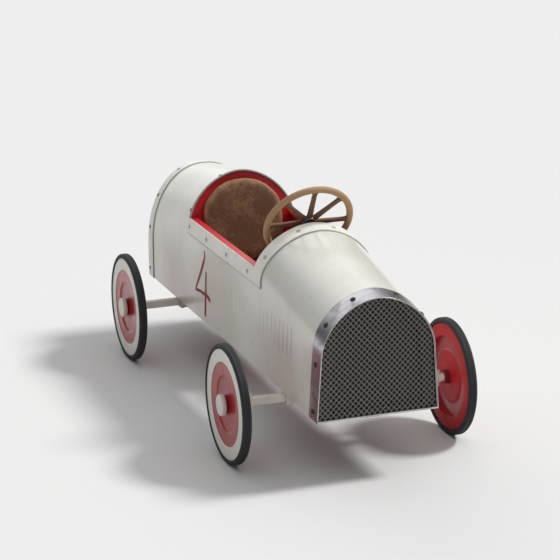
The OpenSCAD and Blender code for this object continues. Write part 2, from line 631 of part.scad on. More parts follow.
PEDAL_W = 48;
module pedal(side) color("#2A2A2C") difference() {
    x0 = side > 0 ? WEB_IN + WEB_T + 3.5 : -WEB_OUT + 3.5;
    z = crank_z + side * crank_r;
    union() {
        translate([x0, crank_y - 23, z - 8]) cube([PEDAL_W, 46, 16]);
        translate([x0 - 1.5, crank_y, z]) rotate([0, 90, 0]) cylinder(r = 7, h = PEDAL_W + 3);
    }
    translate([x0 - 5, crank_y, z]) rotate([0, 90, 0])
        cylinder(r = CRANK_PIN_R + GAP, h = PEDAL_W + 10);
    for (dy = [-15, 15]) translate([x0 - 5, crank_y + dy - 4, z - 3]) cube([PEDAL_W + 10, 8, 6]);
}
module pedal_left() pedal(1);
module pedal_right() pedal(-1);

module crank_hangers() color(RED) for (side = [-1, 1])
    translate([side > 0 ? 94 : -rail_in, 0, 0]) difference() {
        union() {
            translate([0, crank_y - 14, body_bottom_z])
                cube([rail_in - 94, 28, crank_z - body_bottom_z]);
            translate([0, crank_y, crank_z]) rotate([0, 90, 0]) cylinder(r = 14, h = rail_in - 94);
        }
        translate([-1, crank_y, crank_z]) rotate([0, 90, 0])
            cylinder(r = axle_d / 2 + GAP, h = rail_in - 92);
    }

// the chain's loop round both sprockets, drawn as [y, z] and grown by off
span_y = rear_axle_y - crank_y;
span_z = wheel_r - crank_z;
span = sqrt(span_y * span_y + span_z * span_z);
r_front = pitch_r(front_teeth);
r_rear = pitch_r(rear_teeth);
aim = atan2(span_z, span_y);
wrap = acos((r_front - r_rear) / span);
function loop(off) = concat(
    [for (i = [0:24]) let (a = aim + wrap + (360 - 2 * wrap) * i / 24)
        [crank_y + (r_front + off) * cos(a), crank_z + (r_front + off) * sin(a)]],
    [for (i = [0:24]) let (a = aim - wrap + 2 * wrap * i / 24)
        [rear_axle_y + (r_rear + off) * cos(a), wheel_r + (r_rear + off) * sin(a)]]);
CHAIN_GAP = 5.4;
LINK_T = 1.6;
LINK_H = 4.2;
module drive_chain() color("#5B5A58") {
    // two rows of side plates
    for (x = [chain_x - CHAIN_GAP / 2 - LINK_T, chain_x + CHAIN_GAP / 2])
        translate([x, 0, 0]) rotate([90, 0, 90]) linear_extrude(LINK_T)
            difference() {
                polygon(loop(LINK_H));
                polygon(loop(-LINK_H));
            }
    // rollers along both straight runs, clear of the teeth
    for (dir = [-1, 1]) {
        a = aim + dir * wrap;
        p = [crank_y + r_front * cos(a), crank_z + r_front * sin(a)];
        q = [rear_axle_y + r_rear * cos(a), wheel_r + r_rear * sin(a)];
        run = norm(q - p);
        for (d = [26:2 * chain_pitch:run - 22]) {
            c = p + (q - p) * d / run;
            translate([chain_x - CHAIN_GAP / 2, c[0], c[1]]) rotate([0, 90, 0])
                cylinder(r = 3, h = CHAIN_GAP, $fn = 24);
        }
    }
}

// ---- seat ----

SEAT_LEAN = atan(0.172);
SEAT_Y0 = 60;
BULKHEAD_T = 4;
bulkhead_y = 256;                // front face of the bulkhead at the height of the sill
BACK_REF_Z = 355.6;
// frame of the leaning seat back: y = 0 is the bulkhead's front face, z runs up along it
module back_frame() translate([0, bulkhead_y, BACK_REF_Z]) rotate([-SEAT_LEAN, 0, 0]) children();
function leaned(pts) = [for (p = pts) [p[0], (p[1] - BACK_REF_Z) / cos(SEAT_LEAN)]];

module seat_bulkhead() color(RED) back_frame() translate([0, BULKHEAD_T, 0]) rotate([90, 0, 0])
    linear_extrude(BULKHEAD_T)
        polygon(leaned(outline([0, 0, 131.3, 334, 125.3, 1.84, 0], -skin_t - FRAME_GAP / 2, 205)));
module seat_back_pad() color(LEATHER) back_frame() translate([0, -0.3, 0]) rotate([90, 0, 0])
    linear_extrude(pad_t)
        polygon(leaned(outline([0, 0, pad_half_w, 362, 84.5, 2, 0], 0, seat_top_z + 4)));
module seat_base() color(RED) {
    y1 = 229;
    translate([-rail_out + 1, SEAT_Y0, seat_base_z]) cube([2 * rail_out - 2, y1 - SEAT_Y0, 3]);
    for (x = [-rail_out + 1, rail_out - 4])
        translate([x, SEAT_Y0, rail_top]) cube([3, y1 - SEAT_Y0, seat_base_z - rail_top + 1]);
}
module seat_cushion() color(LEATHER)
    translate([-110, SEAT_Y0 + 2, seat_base_z + 3])
        cube([220, 166, seat_top_z - seat_base_z - 3]);

hood_skin();
tail_skin();
side_panel_left();
side_panel_right();
nose_band();
nose_ring();
nose_backing();
nose_mesh();
nose_screws();
trim_screws();
hood_band();
sill_strip_left();
sill_strip_right();
sill_rail_left();
sill_rail_right();
tail_ring();
tail_panel();
tail_band();
chassis_rail_left();
chassis_rail_right();
cross_members();
front_beam();
kingpins();
front_clamps();
rear_clamps();
axle_housing_left();
axle_housing_right();
dash_hoop();
column_bracket();
crank_hangers();
drive_chain();
seat_bulkhead();
seat_back_pad();
seat_base();
seat_cushion();
knuckle_left();
knuckle_right();
tie_rod();
steering_column();
steering_rim();
steering_spider();
front_left_tyre();
front_left_wheel();
front_left_cap();
front_right_tyre();
front_right_wheel();
front_right_cap();
rear_left_tyre();
rear_left_wheel();
rear_left_cap();
rear_right_tyre();
rear_right_wheel();
rear_right_cap();
rear_axle();
rear_sprocket();
front_sprocket();
pedal_crank();
pedal_left();
pedal_right();
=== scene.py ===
import json
import math

import bmesh
import bpy
from bpy.props import FloatProperty, FloatVectorProperty, IntProperty, PointerProperty
from mathutils import Matrix, Vector, noise


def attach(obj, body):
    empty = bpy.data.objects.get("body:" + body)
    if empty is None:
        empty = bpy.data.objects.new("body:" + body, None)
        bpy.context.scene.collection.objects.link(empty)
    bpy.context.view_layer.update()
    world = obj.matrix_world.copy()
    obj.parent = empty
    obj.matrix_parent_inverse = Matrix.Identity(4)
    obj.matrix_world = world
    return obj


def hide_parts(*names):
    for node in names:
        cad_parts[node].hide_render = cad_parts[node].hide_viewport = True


bl_info = {
    "name": "Pedal racing car",
    "version": (1, 0, 0),
    "blender": (4, 5, 0),
    "location": "View3D > Sidebar > Pedal car",
    "description": "Builds the visible pieces of a child's sheet steel pedal racing car",
    "category": "Object",
}

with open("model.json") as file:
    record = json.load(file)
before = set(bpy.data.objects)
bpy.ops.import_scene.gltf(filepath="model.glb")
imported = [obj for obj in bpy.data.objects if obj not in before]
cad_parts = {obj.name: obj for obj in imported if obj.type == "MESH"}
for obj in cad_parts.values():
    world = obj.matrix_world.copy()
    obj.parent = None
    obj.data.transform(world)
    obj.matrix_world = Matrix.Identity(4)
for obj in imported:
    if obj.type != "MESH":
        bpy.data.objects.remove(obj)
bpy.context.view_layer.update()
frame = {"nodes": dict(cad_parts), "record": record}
BODY_OF = {
    node: body for body, nodes in frame["record"]["behaviour"]["bodies"].items() for node in nodes
}
MM = 0.001
SIDES = {"right": -1, "left": 1}
UP, BACKWARDS = Vector((0, 0, 1)), Vector((0, 1, 0))
BODY_MIDDLE = Vector((0, 0, 0.26))
# in millimetres: where the axles stand along Y, and the height of their middles
AXLES = {"front": -371, "rear": 366}
WHEEL_RADIUS = 127


# ---- sizes and colours that a user may change ----


def length(name, description, default, low=0.0, high=2.0):
    return FloatProperty(
        name=name, description=description, default=default, min=low, max=high,
        unit="LENGTH", precision=4,
    )


def colour(name, description, default):
    return FloatVectorProperty(
        name=name, description=description, default=(*default, 1.0), size=4,
        subtype="COLOR", min=0.0, max=1.0,
    )


class PedalCarSizes(bpy.types.PropertyGroup):
    sheet_gauge: length("Sheet gauge", "Thickness of the body's sheet steel", 0.0015)
    band_gauge: length("Band gauge", "Thickness of the bands and sill strips", 0.0012)
    nose_band: length("Nose band", "Width of the polished band round the nose", 0.047)
    hood_band: length("Hood band", "Width of the band at the rear of the hood", 0.045)
    tail_band: length("Tail band", "Width of the band round the tail", 0.038)
    sill_strip: length("Sill strip", "Height of the strip along the cockpit's sill", 0.035)
    wire_pitch: length("Wire pitch", "Width of one mesh of the grille", 0.0119)
    wire_radius: length("Wire radius", "Radius of the grille's wire", 0.00095)
    rim_radius: length("Rim radius", "Radius of the steering wheel to the middle of its rim", 0.0937)
    rim_section: length("Rim section", "Diameter of the steering wheel's rim", 0.0148)
    spokes: IntProperty(
        name="Spokes", description="Number of spokes in the steering wheel", default=8, min=3, max=12
    )
    remesh: length("Pad voxel", "Size of the voxels that a pad is sewn from", 0.005)


class PedalCarColours(bpy.types.PropertyGroup):
    ivory: colour("Ivory", "Enamel of the body", (0.755, 0.75, 0.685))
    ivory_aged: colour("Aged ivory", "Enamel where it has yellowed", (0.62, 0.60, 0.50))
    trim_ivory: colour("Trim ivory", "Enamel of the bands, strips and axles", (0.86, 0.85, 0.78))
    # this colour darkens streaks and specks as dirt, and edges and corners partly as painted shade
    grime_and_shade: colour("Grime and shade", "Dirt in streaks and specks, painted shade along edges and in corners", (0.13, 0.11, 0.085))
    red: colour("Red", "Enamel of the chassis and the cockpit", (0.57, 0.010, 0.022))
    wheel_red: colour("Wheel red", "Enamel of the wheel discs", (0.40, 0.017, 0.024))
    wheel_ivory: colour("Wheel ivory", "Enamel of the wheels' rings and caps", (0.74, 0.73, 0.66))
    numeral: colour("Numeral", "Brushed paint of the race number", (0.20, 0.012, 0.018))
    rubber: colour("Rubber", "Tyres", (0.024, 0.027, 0.030))
    wood: colour("Wood", "Light grain of the steering wheel's rim", (0.54, 0.275, 0.10))
    wood_dark: colour("Dark wood", "Dark grain of the steering wheel's rim", (0.26, 0.11, 0.036))
    leather: colour("Leather", "Seat leather", (0.165, 0.076, 0.035))
    leather_worn: colour("Worn leather", "Leather where the dye has rubbed off", (0.42, 0.225, 0.105))
    floor: colour("Floor", "Studio floor", (0.72, 0.72, 0.72))


# ---- the body's sections, in millimetres ----

# [y at the sill, slant, half width, spring height, rise, roundness, lean]
NOSE = (-579.0, 0.0, 122.0, 273.0, 113.7, 1.84, 0.067)
HOOD = (-190.5, -0.217, 127.8, 343.0, 107.3, 1.84, 0.0)
COWL = (257.5, 0.107, 131.7, 334.0, 127.5, 1.84, 0.0)
TAIL = (579.0, 0.0, 134.5, 217.3, 197.2, 2.15, 0.0)
FOOT = 139.0
SILL = 360.0
# shares of the height from the foot to the sill at which a side has its points
SIDE_SHARES = (0, 0.13, 0.26, 0.38, 0.48, 0.56, 0.62, 0.68, 0.74, 0.79, 0.835, 0.87, 0.905, 0.935, 0.965, 1)
ARCH_POINTS = 26


def mix(a, b, t):
    if isinstance(a, tuple):
        return tuple(x * (1 - t) + y * t for x, y in zip(a, b))
    return a * (1 - t) + b * t


def half_width(section, z, off=0.0):
    _y, _slant, width, spring, rise, roundness, lean = section
    if z < spring:
        return width + off + lean * (spring - z)
    share = max(0.0, 1 - ((z - spring) / (rise + off)) ** roundness)
    return (width + off) * share ** (1 / roundness)


def slant_y(section, z):
    return section[0] + section[1] * max(0.0, z - SILL)


def section_at(y):
    """The section whose sill is at y."""
    if y < HOOD[0]:
        return mix(NOSE, HOOD, (y - NOSE[0]) / (HOOD[0] - NOSE[0]))
    if y < COWL[0]:
        return mix(HOOD, COWL, (y - HOOD[0]) / (COWL[0] - HOOD[0]))
    return mix(COWL, TAIL, (y - COWL[0]) / (TAIL[0] - COWL[0]))


def section_ring(section, off=0.0, low=FOOT, shift=0.0, turn=SILL):
    """Points of a section in metres, from its left foot over the top to its right foot."""
    points = []
    for share in SIDE_SHARES:
        z = mix(low, turn, share)
        points.append((half_width(section, z, off), slant_y(section, z) + shift, z))
    spring, rise, roundness = section[3], section[4] + off, section[5]
    start = math.asin(min(1.0, max(0.0, (turn - spring) / rise) ** (roundness / 2)))
    for i in range(1, ARCH_POINTS + 1):
        a = mix(start, math.pi / 2, i / ARCH_POINTS)
        x = (section[2] + off) * max(0.0, math.cos(a)) ** (2 / roundness)
        z = spring + rise * math.sin(a) ** (2 / roundness)
        points.append((x if i < ARCH_POINTS else 0.0, slant_y(section, z) + shift, z))
    points += [(-x, y, z) for x, y, z in reversed(points[:-1])]
    return [Vector(p) * MM for p in points]


# ---- mesh helpers ----


def chain(bm, points, closed=False):
    """A row of new vertices joined by edges. Gives the edges."""
    verts = [bm.verts.new(p) for p in points]
    pairs = list(zip(verts, verts[1:]))
    if closed:
        pairs.append((verts[-1], verts[0]))
    return [bm.edges.new(pair) for pair in pairs]


def loft(bm, rings, closed=False, caps=False):
    """Bridges each row of points to the next. Gives the lists of faces, one for each span."""
    rows = [chain(bm, ring, closed) for ring in rings]
    spans = [
        bmesh.ops.bridge_loops(bm, edges=a + b)["faces"] for a, b in zip(rows, rows[1:])
    ]
    if caps:
        for row in (rows[0], rows[-1]):
            bmesh.ops.edgeloop_fill(bm, edges=row)
    return spans


def eased(corners, steps=3):
    """Rounds the corners of a closed outline of (u, v, radius) points."""
    outline = []
    for i, (u, v, radius) in enumerate(corners):
        here = Vector((u, v))
        before = Vector(corners[i - 1][:2]) - here
        after = Vector(corners[(i + 1) % len(corners)][:2]) - here
        if radius <= 0 or before.length < 1e-6 or after.length < 1e-6:
            outline.append((u, v))
            continue
        reach = min(radius, before.length * 0.45, after.length * 0.45)
        a = here + before.normalized() * reach
        b = here + after.normalized() * reach
        for k in range(steps + 1):
            t = k / steps
            outline.append(tuple(a * (1 - t) ** 2 + here * 2 * t * (1 - t) + b * t * t))
    return outline


def lathe(bm, outline, segments=96):
    """Spins a closed outline of (radius, height) points in millimetres round Z."""
    edges = chain(bm, [Vector((r, 0, h)) * MM for r, h in outline], closed=True)
    verts = list(dict.fromkeys(v for e in edges for v in e.verts))
    bmesh.ops.spin(
        bm, geom=verts + edges, cent=(0, 0, 0), axis=(0, 0, 1), dvec=(0, 0, 0),
        angle=math.tau, steps=segments, use_merge=True, use_duplicate=False,
    )


def turns(count, start=0.0):
    """The angles of count even steps round a circle."""
    return [math.tau * (k + start) / count for k in range(count)]


def carry(bm, matrix, verts=None):
    bmesh.ops.transform(bm, matrix=matrix, verts=verts or bm.verts)


def merge(bm, dist=2e-6):
    bmesh.ops.remove_doubles(bm, verts=bm.verts, dist=dist)


def standing(where, outward):
    """The frame of a small part on a surface point, its Z along the outward direction."""
    return Matrix.Translation(where) @ outward.to_track_quat("Z", "Y").to_matrix().to_4x4()


def as_object(name, bm):
    mesh = bpy.data.meshes.new(name)
    bm.to_mesh(mesh)
    bm.free()
    made = bpy.data.objects.new(name, mesh)
    bpy.context.scene.collection.objects.link(made)
    return made


def tube(bm, path, radius, sides=8, closed=False, up=UP):
    """A round rod along a path of points."""
    rings = []
    count = len(path)
    for i, p in enumerate(path):
        ahead = path[(i + 1) % count] if closed or i < count - 1 else p
        behind = path[i - 1] if closed or i > 0 else p
        along = (ahead - behind).normalized()
        across = along.cross(up)
        if across.length < 1e-3:
            across = along.cross(Vector((1, 0, 0)))
        across.normalize()
        over = across.cross(along).normalized()
        rings.append([
            p + across * radius * math.cos(a) + over * radius * math.sin(a) for a in turns(sides)
        ])
    if closed:
        rings.append(rings[0])
    loft(bm, rings, closed=True, caps=not closed)


def piece(name, bm, finishes, body="chassis", slot=None, replaces=(), sharp=32, clean=True):
    """Turns a bmesh into a finished object that rides on a body."""
    merge(bm)
    if clean:
        bmesh.ops.recalc_face_normals(bm, faces=bm.faces)
    made = as_object(name, bm)
    mesh = made.data
    for finish_name in finishes:
        mesh.materials.append(finish(finish_name))
    mesh.polygons.foreach_set("use_smooth", [True] * len(mesh.polygons))
    mesh.set_sharp_from_angle(angle=math.radians(sharp))
    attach(made, body)
    if replaces:
        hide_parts(*replaces)
    return made


def ease_edges(made, width, segments=2, angle=40):
    bevel = made.modifiers.new("eased edges", "BEVEL")
    bevel.width = width
    bevel.segments = segments
    bevel.limit_method = "ANGLE"
    bevel.angle_limit = math.radians(angle)
    bevel.harden_normals = True
    bevel.use_clamp_overlap = True


def thicken(made, gauge, offset, inside=None):
    wall = made.modifiers.new("sheet gauge", "SOLIDIFY")
    wall.thickness = gauge
    wall.offset = offset
    wall.use_even_offset = True
    wall.use_quality_normals = True
    if inside is not None:
        wall.material_offset = inside


def face_outwards(bm):
    """Turns an open shell's faces so that they point away from the line through the body's middle."""
    bm.normal_update()
    for face in bm.faces:
        c = face.calc_center_median()
        if face.normal.dot(Vector((c.x - BODY_MIDDLE.x, 0, c.z - BODY_MIDDLE.z))) < 0:
            face.normal_flip()


# ---- shader node helpers ----


def put(tree, kind, sockets=None, **settings):
    """Adds a node. A socket's value is a number or colour, or another node's output."""
    node = tree.nodes.new(kind)
    for key, value in settings.items():
        setattr(node, key, value)
    for key, value in (sockets or {}).items():
        if isinstance(value, bpy.types.NodeSocket):
            tree.links.new(value, node.inputs[key])
        else:
            node.inputs[key].default_value = value
    return node


def tint(tree, share, a, b):
    """Mixes two colours. Gives the colour output."""
    return put(tree, "ShaderNodeMix", {0: share, 6: a, 7: b}, data_type="RGBA").outputs[2]


def sums(operation):
    """A function that joins two values by an operation. It gives the output."""

    def joined(tree, a, b, clamp=False):
        return put(tree, "ShaderNodeMath", {0: a, 1: b}, operation=operation, use_clamp=clamp).outputs[0]

    return joined


times, plus, minus = sums("MULTIPLY"), sums("ADD"), sums("SUBTRACT")


def band(tree, value, low, high, to_low=0.0, to_high=1.0):
    """Carries a value from one range to another, held at its ends."""
    return put(
        tree, "ShaderNodeMapRange",
        {"Value": value, "From Min": low, "From Max": high, "To Min": to_low, "To Max": to_high},
        interpolation_type="SMOOTHSTEP",
    ).outputs["Result"]


def cloud(tree, where, scale, detail=3.0, roughness=0.55):
    return put(
        tree, "ShaderNodeTexNoise",
        {"Vector": where, "Scale": scale, "Detail": detail, "Roughness": roughness},
    ).outputs[0]


def cells(tree, where, scale, feature="F1"):
    voronoi = put(tree, "ShaderNodeTexVoronoi", {"Vector": where, "Scale": scale}, feature=feature)
    return voronoi.outputs["Distance"]


def stretched(tree, where, scale):
    return put(tree, "ShaderNodeMapping", {"Vector": where, "Scale": scale}).outputs["Vector"]


VEC, COL, NUM = "NodeSocketVector", "NodeSocketColor", "NodeSocketFloat"
RESULTS = (("Color", COL), ("Roughness", NUM), ("Height", NUM))


def new_group(name, inputs):
    """A shader node group with named sockets. Gives the group and the outputs of its input node."""
    tree = bpy.data.node_groups.new(name, "ShaderNodeTree")
    for label, kind, default in inputs:
        socket = tree.interface.new_socket(name=label, in_out="INPUT", socket_type=kind)
        if default is not None:
            socket.default_value = default
    for label, kind in RESULTS:
        tree.interface.new_socket(name=label, in_out="OUTPUT", socket_type=kind)
    return tree, tree.nodes.new("NodeGroupInput").outputs


def give(tree, *values):
    """Links a group's results. Gives the group."""
    out = tree.nodes.new("NodeGroupOutput").inputs
    for (label, _kind), value in zip(RESULTS, values):
        tree.links.new(value, out[label])
    return tree


def aged_paint_group():
    """Enamel with slow yellowing, hanging streaks, specks and fine scratches, worn along its edges and
    darkened there and in its corners, partly by wearing and partly as painted shade.
    """
    tree, given = new_group(
        "aged_paint",
        [
            ("Where", VEC, None), ("Paint", COL, (1, 1, 1, 1)), ("Aged", COL, (1, 1, 1, 1)),
            ("Grime and shade", COL, (0, 0, 0, 1)), ("Base roughness", NUM, 0.3), ("Age", NUM, 0.5),
            ("Edge wear", NUM, 0.5), ("Streaks", NUM, 0.5),
        ],
    )
    where = given["Where"]
    slow = cloud(tree, where, 7.0, 4.0, 0.6)
    middling = cloud(tree, where, 38.0, 3.0, 0.6)
    age = times(tree, band(tree, slow, 0.38, 0.72), given["Age"])
    shade = tint(tree, age, given["Paint"], given["Aged"])
    hanging = cloud(tree, stretched(tree, where, (1.0, 1.0, 0.06)), 85.0, 2.0)
    streak = times(tree, band(tree, hanging, 0.55, 0.78), given["Streaks"])
    streak = times(tree, streak, band(tree, slow, 0.3, 0.6))
    shade = tint(tree, times(tree, streak, 0.16), shade, given["Grime and shade"])
    speck = cells(tree, where, 170.0)
    speck = times(tree, band(tree, speck, 0.13, 0.05), band(tree, middling, 0.56, 0.66))
    shade = tint(tree, times(tree, speck, 0.30), shade, given["Grime and shade"])
    rounded = put(tree, "ShaderNodeBevel", {"Radius": 0.0016}, samples=4).outputs["Normal"]
    flat = put(tree, "ShaderNodeNewGeometry").outputs["Normal"]
    meet = put(tree, "ShaderNodeVectorMath", {0: rounded, 1: flat}, operation="DOT_PRODUCT").outputs["Value"]
    edge = band(tree, meet, 0.985, 0.90)
    fine = cloud(tree, where, 210.0, 3.0, 0.7)
    edge = times(tree, edge, band(tree, fine, 0.42, 0.62))
    edge = times(tree, edge, given["Edge wear"], clamp=True)
    # darker along edges and in corners: partly worn paint, partly painted shade along the bands' stepped
    # edges
    shade = tint(tree, times(tree, edge, 0.55), shade, given["Grime and shade"])
    scratch = cloud(tree, stretched(tree, where, (6.0, 0.5, 1.0)), 130.0, 2.0, 0.4)
    scratch = band(tree, scratch, 0.66, 0.70)
    rough = plus(tree, given["Base roughness"], times(tree, age, 0.10))
    rough = plus(tree, rough, band(tree, middling, 0.3, 0.7, -0.03, 0.05))
    rough = plus(tree, rough, times(tree, edge, 0.25), clamp=True)
    rough = plus(tree, rough, times(tree, scratch, 0.06), clamp=True)
    lumps = times(tree, cloud(tree, where, 16.0, 2.0), 0.9)
    peel = times(tree, cloud(tree, where, 420.0, 2.0), 0.05)
    height = plus(tree, lumps, peel)
    height = minus(tree, height, times(tree, edge, 0.12))
    return give(tree, shade, rough, height)


def bare_metal_group():
    """Rolled or wiped metal: fine lines one way, patches of tarnish and dark pits."""
    tree, given = new_group(
        "bare_metal",
        [
            ("Where", VEC, None), ("Metal", COL, (1, 1, 1, 1)), ("Tarnish", COL, (0, 0, 0, 1)),
            ("Base roughness", NUM, 0.3), ("Tarnish amount", NUM, 0.5), ("Line scale", NUM, 500.0),
        ],
    )
    where = given["Where"]
    lines = cloud(tree, stretched(tree, where, (0.1, 1.0, 0.1)), given["Line scale"], 3.0, 0.6)
    patch = cloud(tree, where, 22.0, 5.0, 0.62)
    fine = cloud(tree, where, 160.0, 3.0, 0.6)
    tarnish = times(tree, band(tree, patch, 0.45, 0.72), given["Tarnish amount"])
    shade = tint(tree, tarnish, given["Metal"], given["Tarnish"])
    shade = tint(tree, band(tree, lines, 0.35, 0.65, 0.0, 0.22), shade, given["Tarnish"])
    pits = times(tree, band(tree, fine, 0.66, 0.75), given["Tarnish amount"])
    shade = tint(tree, times(tree, pits, 0.5), shade, given["Tarnish"])
    rough = plus(tree, given["Base roughness"], times(tree, tarnish, 0.3))
    rough = plus(tree, rough, band(tree, lines, 0.3, 0.7, -0.05, 0.08), clamp=True)
    height = minus(tree, times(tree, lines, 0.25), times(tree, pits, 0.5))
    return give(tree, shade, rough, height)


def wood_group():
    """Oiled hardwood whose grain runs along U of the piece's own map."""
    tree, given = new_group(
        "oiled_wood",
        [
            ("Where", VEC, None), ("Light", COL, (1, 1, 1, 1)), ("Dark", COL, (0, 0, 0, 1)),
            ("Handled", NUM, 0.3),
        ],
    )
    where = given["Where"]
    bend = cloud(tree, where, 9.0, 2.0)
    grain_at = put(
        tree, "ShaderNodeVectorMath",
        {0: stretched(tree, where, (0.14, 1.0, 1.0)), 1: bend, 2: (0.0, 0.012, 0.012)},
        operation="MULTIPLY_ADD",
    ).outputs["Vector"]
    grain = cloud(tree, grain_at, 240.0, 5.0, 0.65)
    pores = cloud(tree, stretched(tree, where, (0.09, 1.0, 1.0)), 950.0, 2.0, 0.5)
    patch = cloud(tree, where, 24.0, 3.0, 0.6)
    shade = tint(tree, band(tree, grain, 0.36, 0.66), given["Light"], given["Dark"])
    shade = tint(tree, times(tree, band(tree, pores, 0.6, 0.72), 0.45), shade, given["Dark"])
    dull = times(tree, band(tree, patch, 0.45, 0.75), given["Handled"])
    shade = tint(tree, dull, shade, (0.07, 0.035, 0.017, 1))
    rough = plus(tree, band(tree, grain, 0.3, 0.7, 0.44, 0.6), times(tree, dull, -0.1))
    height = minus(tree, grain, times(tree, band(tree, pores, 0.6, 0.72), 0.8))
    return give(tree, shade, rough, height)


def hide_group():
    """Old leather: pebbled grain, creases, mottled dye, rubbed pale where the mask says."""
    tree, given = new_group(
        "old_hide",
        [
            ("Where", VEC, None), ("Dye", COL, (1, 1, 1, 1)), ("Rubbed", COL, (1, 1, 1, 1)),
            ("Rub mask", NUM, 0.0),
        ],
    )
    where = given["Where"]
    warp = put(
        tree, "ShaderNodeTexNoise", {"Vector": where, "Scale": 60.0, "Detail": 3.0}
    ).outputs["Color"]
    loose = put(
        tree, "ShaderNodeVectorMath", {0: warp, 1: (0.012, 0.012, 0.012), 2: where},
        operation="MULTIPLY_ADD",
    ).outputs["Vector"]
    pebble = cells(tree, loose, 620.0, "DISTANCE_TO_EDGE")
    crease = cells(tree, loose, 75.0, "DISTANCE_TO_EDGE")
    patch = cloud(tree, where, 15.0, 5.0, 0.66)
    fine = cloud(tree, where, 95.0, 5.0, 0.7)
    rub = plus(tree, given["Rub mask"], band(tree, fine, 0.35, 0.65, -0.28, 0.28))
    rub = plus(tree, rub, band(tree, patch, 0.42, 0.66, -0.15, 0.42), clamp=True)
    shade = tint(tree, rub, given["Dye"], given["Rubbed"])
    shade = tint(tree, band(tree, fine, 0.5, 0.75, 0.0, 0.4), shade, (0.045, 0.022, 0.014, 1))
    cracks = band(tree, crease, 0.045, 0.0)
    cracks = times(tree, cracks, band(tree, patch, 0.40, 0.60))
    shade = tint(tree, times(tree, cracks, 0.45), shade, (0.035, 0.018, 0.011, 1))
    rough = plus(tree, band(tree, pebble, 0.0, 0.3, 0.62, 0.48), times(tree, rub, 0.14))
    height = plus(tree, band(tree, pebble, 0.0, 0.25), times(tree, cracks, -2.2))
    return give(tree, shade, rough, height)


GROUPS = {
    "aged_paint": aged_paint_group,
    "bare_metal": bare_metal_group,
    "oiled_wood": wood_group,
    "old_hide": hide_group,
}


def blank(name):
    """A new material, its node tree and its Principled BSDF."""
    material = bpy.data.materials.new(name)
    material.use_nodes = True
    return material, material.node_tree, material.node_tree.nodes["Principled BSDF"]


def in_object(tree):
    return put(tree, "ShaderNodeTexCoord").outputs["Object"]


def emboss(tree, skin, height, strength, depth):
    relief = put(tree, "ShaderNodeBump", {"Strength": strength, "Distance": depth, "Height": height})
    tree.links.new(relief.outputs["Normal"], skin.inputs["Normal"])


def finish_from(name, group, given, bump, depth, shader=None, map_name=None, mask=None):
    """A material that places one of the groups round its own Principled BSDF."""
    material, tree, skin = blank(name)
    if group not in bpy.data.node_groups:
        GROUPS[group]()
    if map_name:
        where = put(tree, "ShaderNodeUVMap", uv_map=map_name).outputs["UV"]
    else:
        where = in_object(tree)
    effect = put(tree, "ShaderNodeGroup", node_tree=bpy.data.node_groups[group])
    tree.links.new(where, effect.inputs["Where"])
    for key, value in given.items():
        effect.inputs[key].default_value = value
    if mask:
        rubbed = put(tree, "ShaderNodeAttribute", attribute_name=mask).outputs["Fac"]
        tree.links.new(rubbed, effect.inputs["Rub mask"])
    tree.links.new(effect.outputs["Color"], skin.inputs["Base Color"])
    tree.links.new(effect.outputs["Roughness"], skin.inputs["Roughness"])
    emboss(tree, skin, effect.outputs["Height"], bump, depth)
    for key, value in (shader or {}).items():
        skin.inputs[key].default_value = value
    return material


def paint(name, coat, aged, roughness, age, edge_wear_and_shade, streaks, bump, shader=None):
    given = {
        "Paint": coat, "Aged": aged, "Grime and shade": bpy.context.scene.pedal_car_colours.grime_and_shade[:],
        "Base roughness": roughness, "Age": age, "Edge wear": edge_wear_and_shade, "Streaks": streaks,
    }
    return finish_from(name, "aged_paint", given, bump, 0.0006, shader)


def metal(name, bright, tarnish, roughness, amount, lines, bump):
    given = {
        "Metal": (*bright, 1), "Tarnish": (*tarnish, 1), "Base roughness": roughness,
        "Tarnish amount": amount, "Line scale": lines,
    }
    return finish_from(name, "bare_metal", given, bump, 0.0002, {"Metallic": 1.0})


def wood(name, light, dark, handled, specular, map_name=None):
    given = {"Light": light, "Dark": dark, "Handled": handled}
    return finish_from(name, "oiled_wood", given, 0.35, 0.0003, {"Specular IOR Level": specular}, map_name)


def rubber(name, base, grip):
    """Rubber with a dusty bloom whose blue-grey tint is partly a painted sheen, and tiny pits."""
    material, tree, skin = blank(name)
    where = in_object(tree)
    bloom_and_sheen = cloud(tree, where, 30.0, 4.0, 0.65)
    pits = cloud(tree, where, grip, 2.0, 0.5)
    # the blue-grey tint is partly dusty bloom and partly a painted sheen
    shade = tint(tree, band(tree, bloom_and_sheen, 0.4, 0.75, 0.0, 0.75), base, (0.052, 0.058, 0.066, 1))
    shade = tint(tree, band(tree, pits, 0.62, 0.72, 0.0, 0.35), shade, (0.09, 0.085, 0.075, 1))
    tree.links.new(shade, skin.inputs["Base Color"])
    tree.links.new(band(tree, bloom_and_sheen, 0.3, 0.7, 0.42, 0.58), skin.inputs["Roughness"])
    emboss(tree, skin, pits, 0.35, 0.0003)
    skin.inputs["Specular IOR Level"].default_value = 0.55
    return material


def floor_finish(name, base):
    material, tree, skin = blank(name)
    soft = cloud(tree, in_object(tree), 0.6, 2.0)
    darker = tuple(c * 0.985 for c in base[:3]) + (1,)
    shade = tint(tree, band(tree, soft, 0.3, 0.7, 0.0, 0.06), base, darker)
    tree.links.new(shade, skin.inputs["Base Color"])
    skin.inputs["Roughness"].default_value = 0.9
    skin.inputs["Specular IOR Level"].default_value = 0.05
    return material


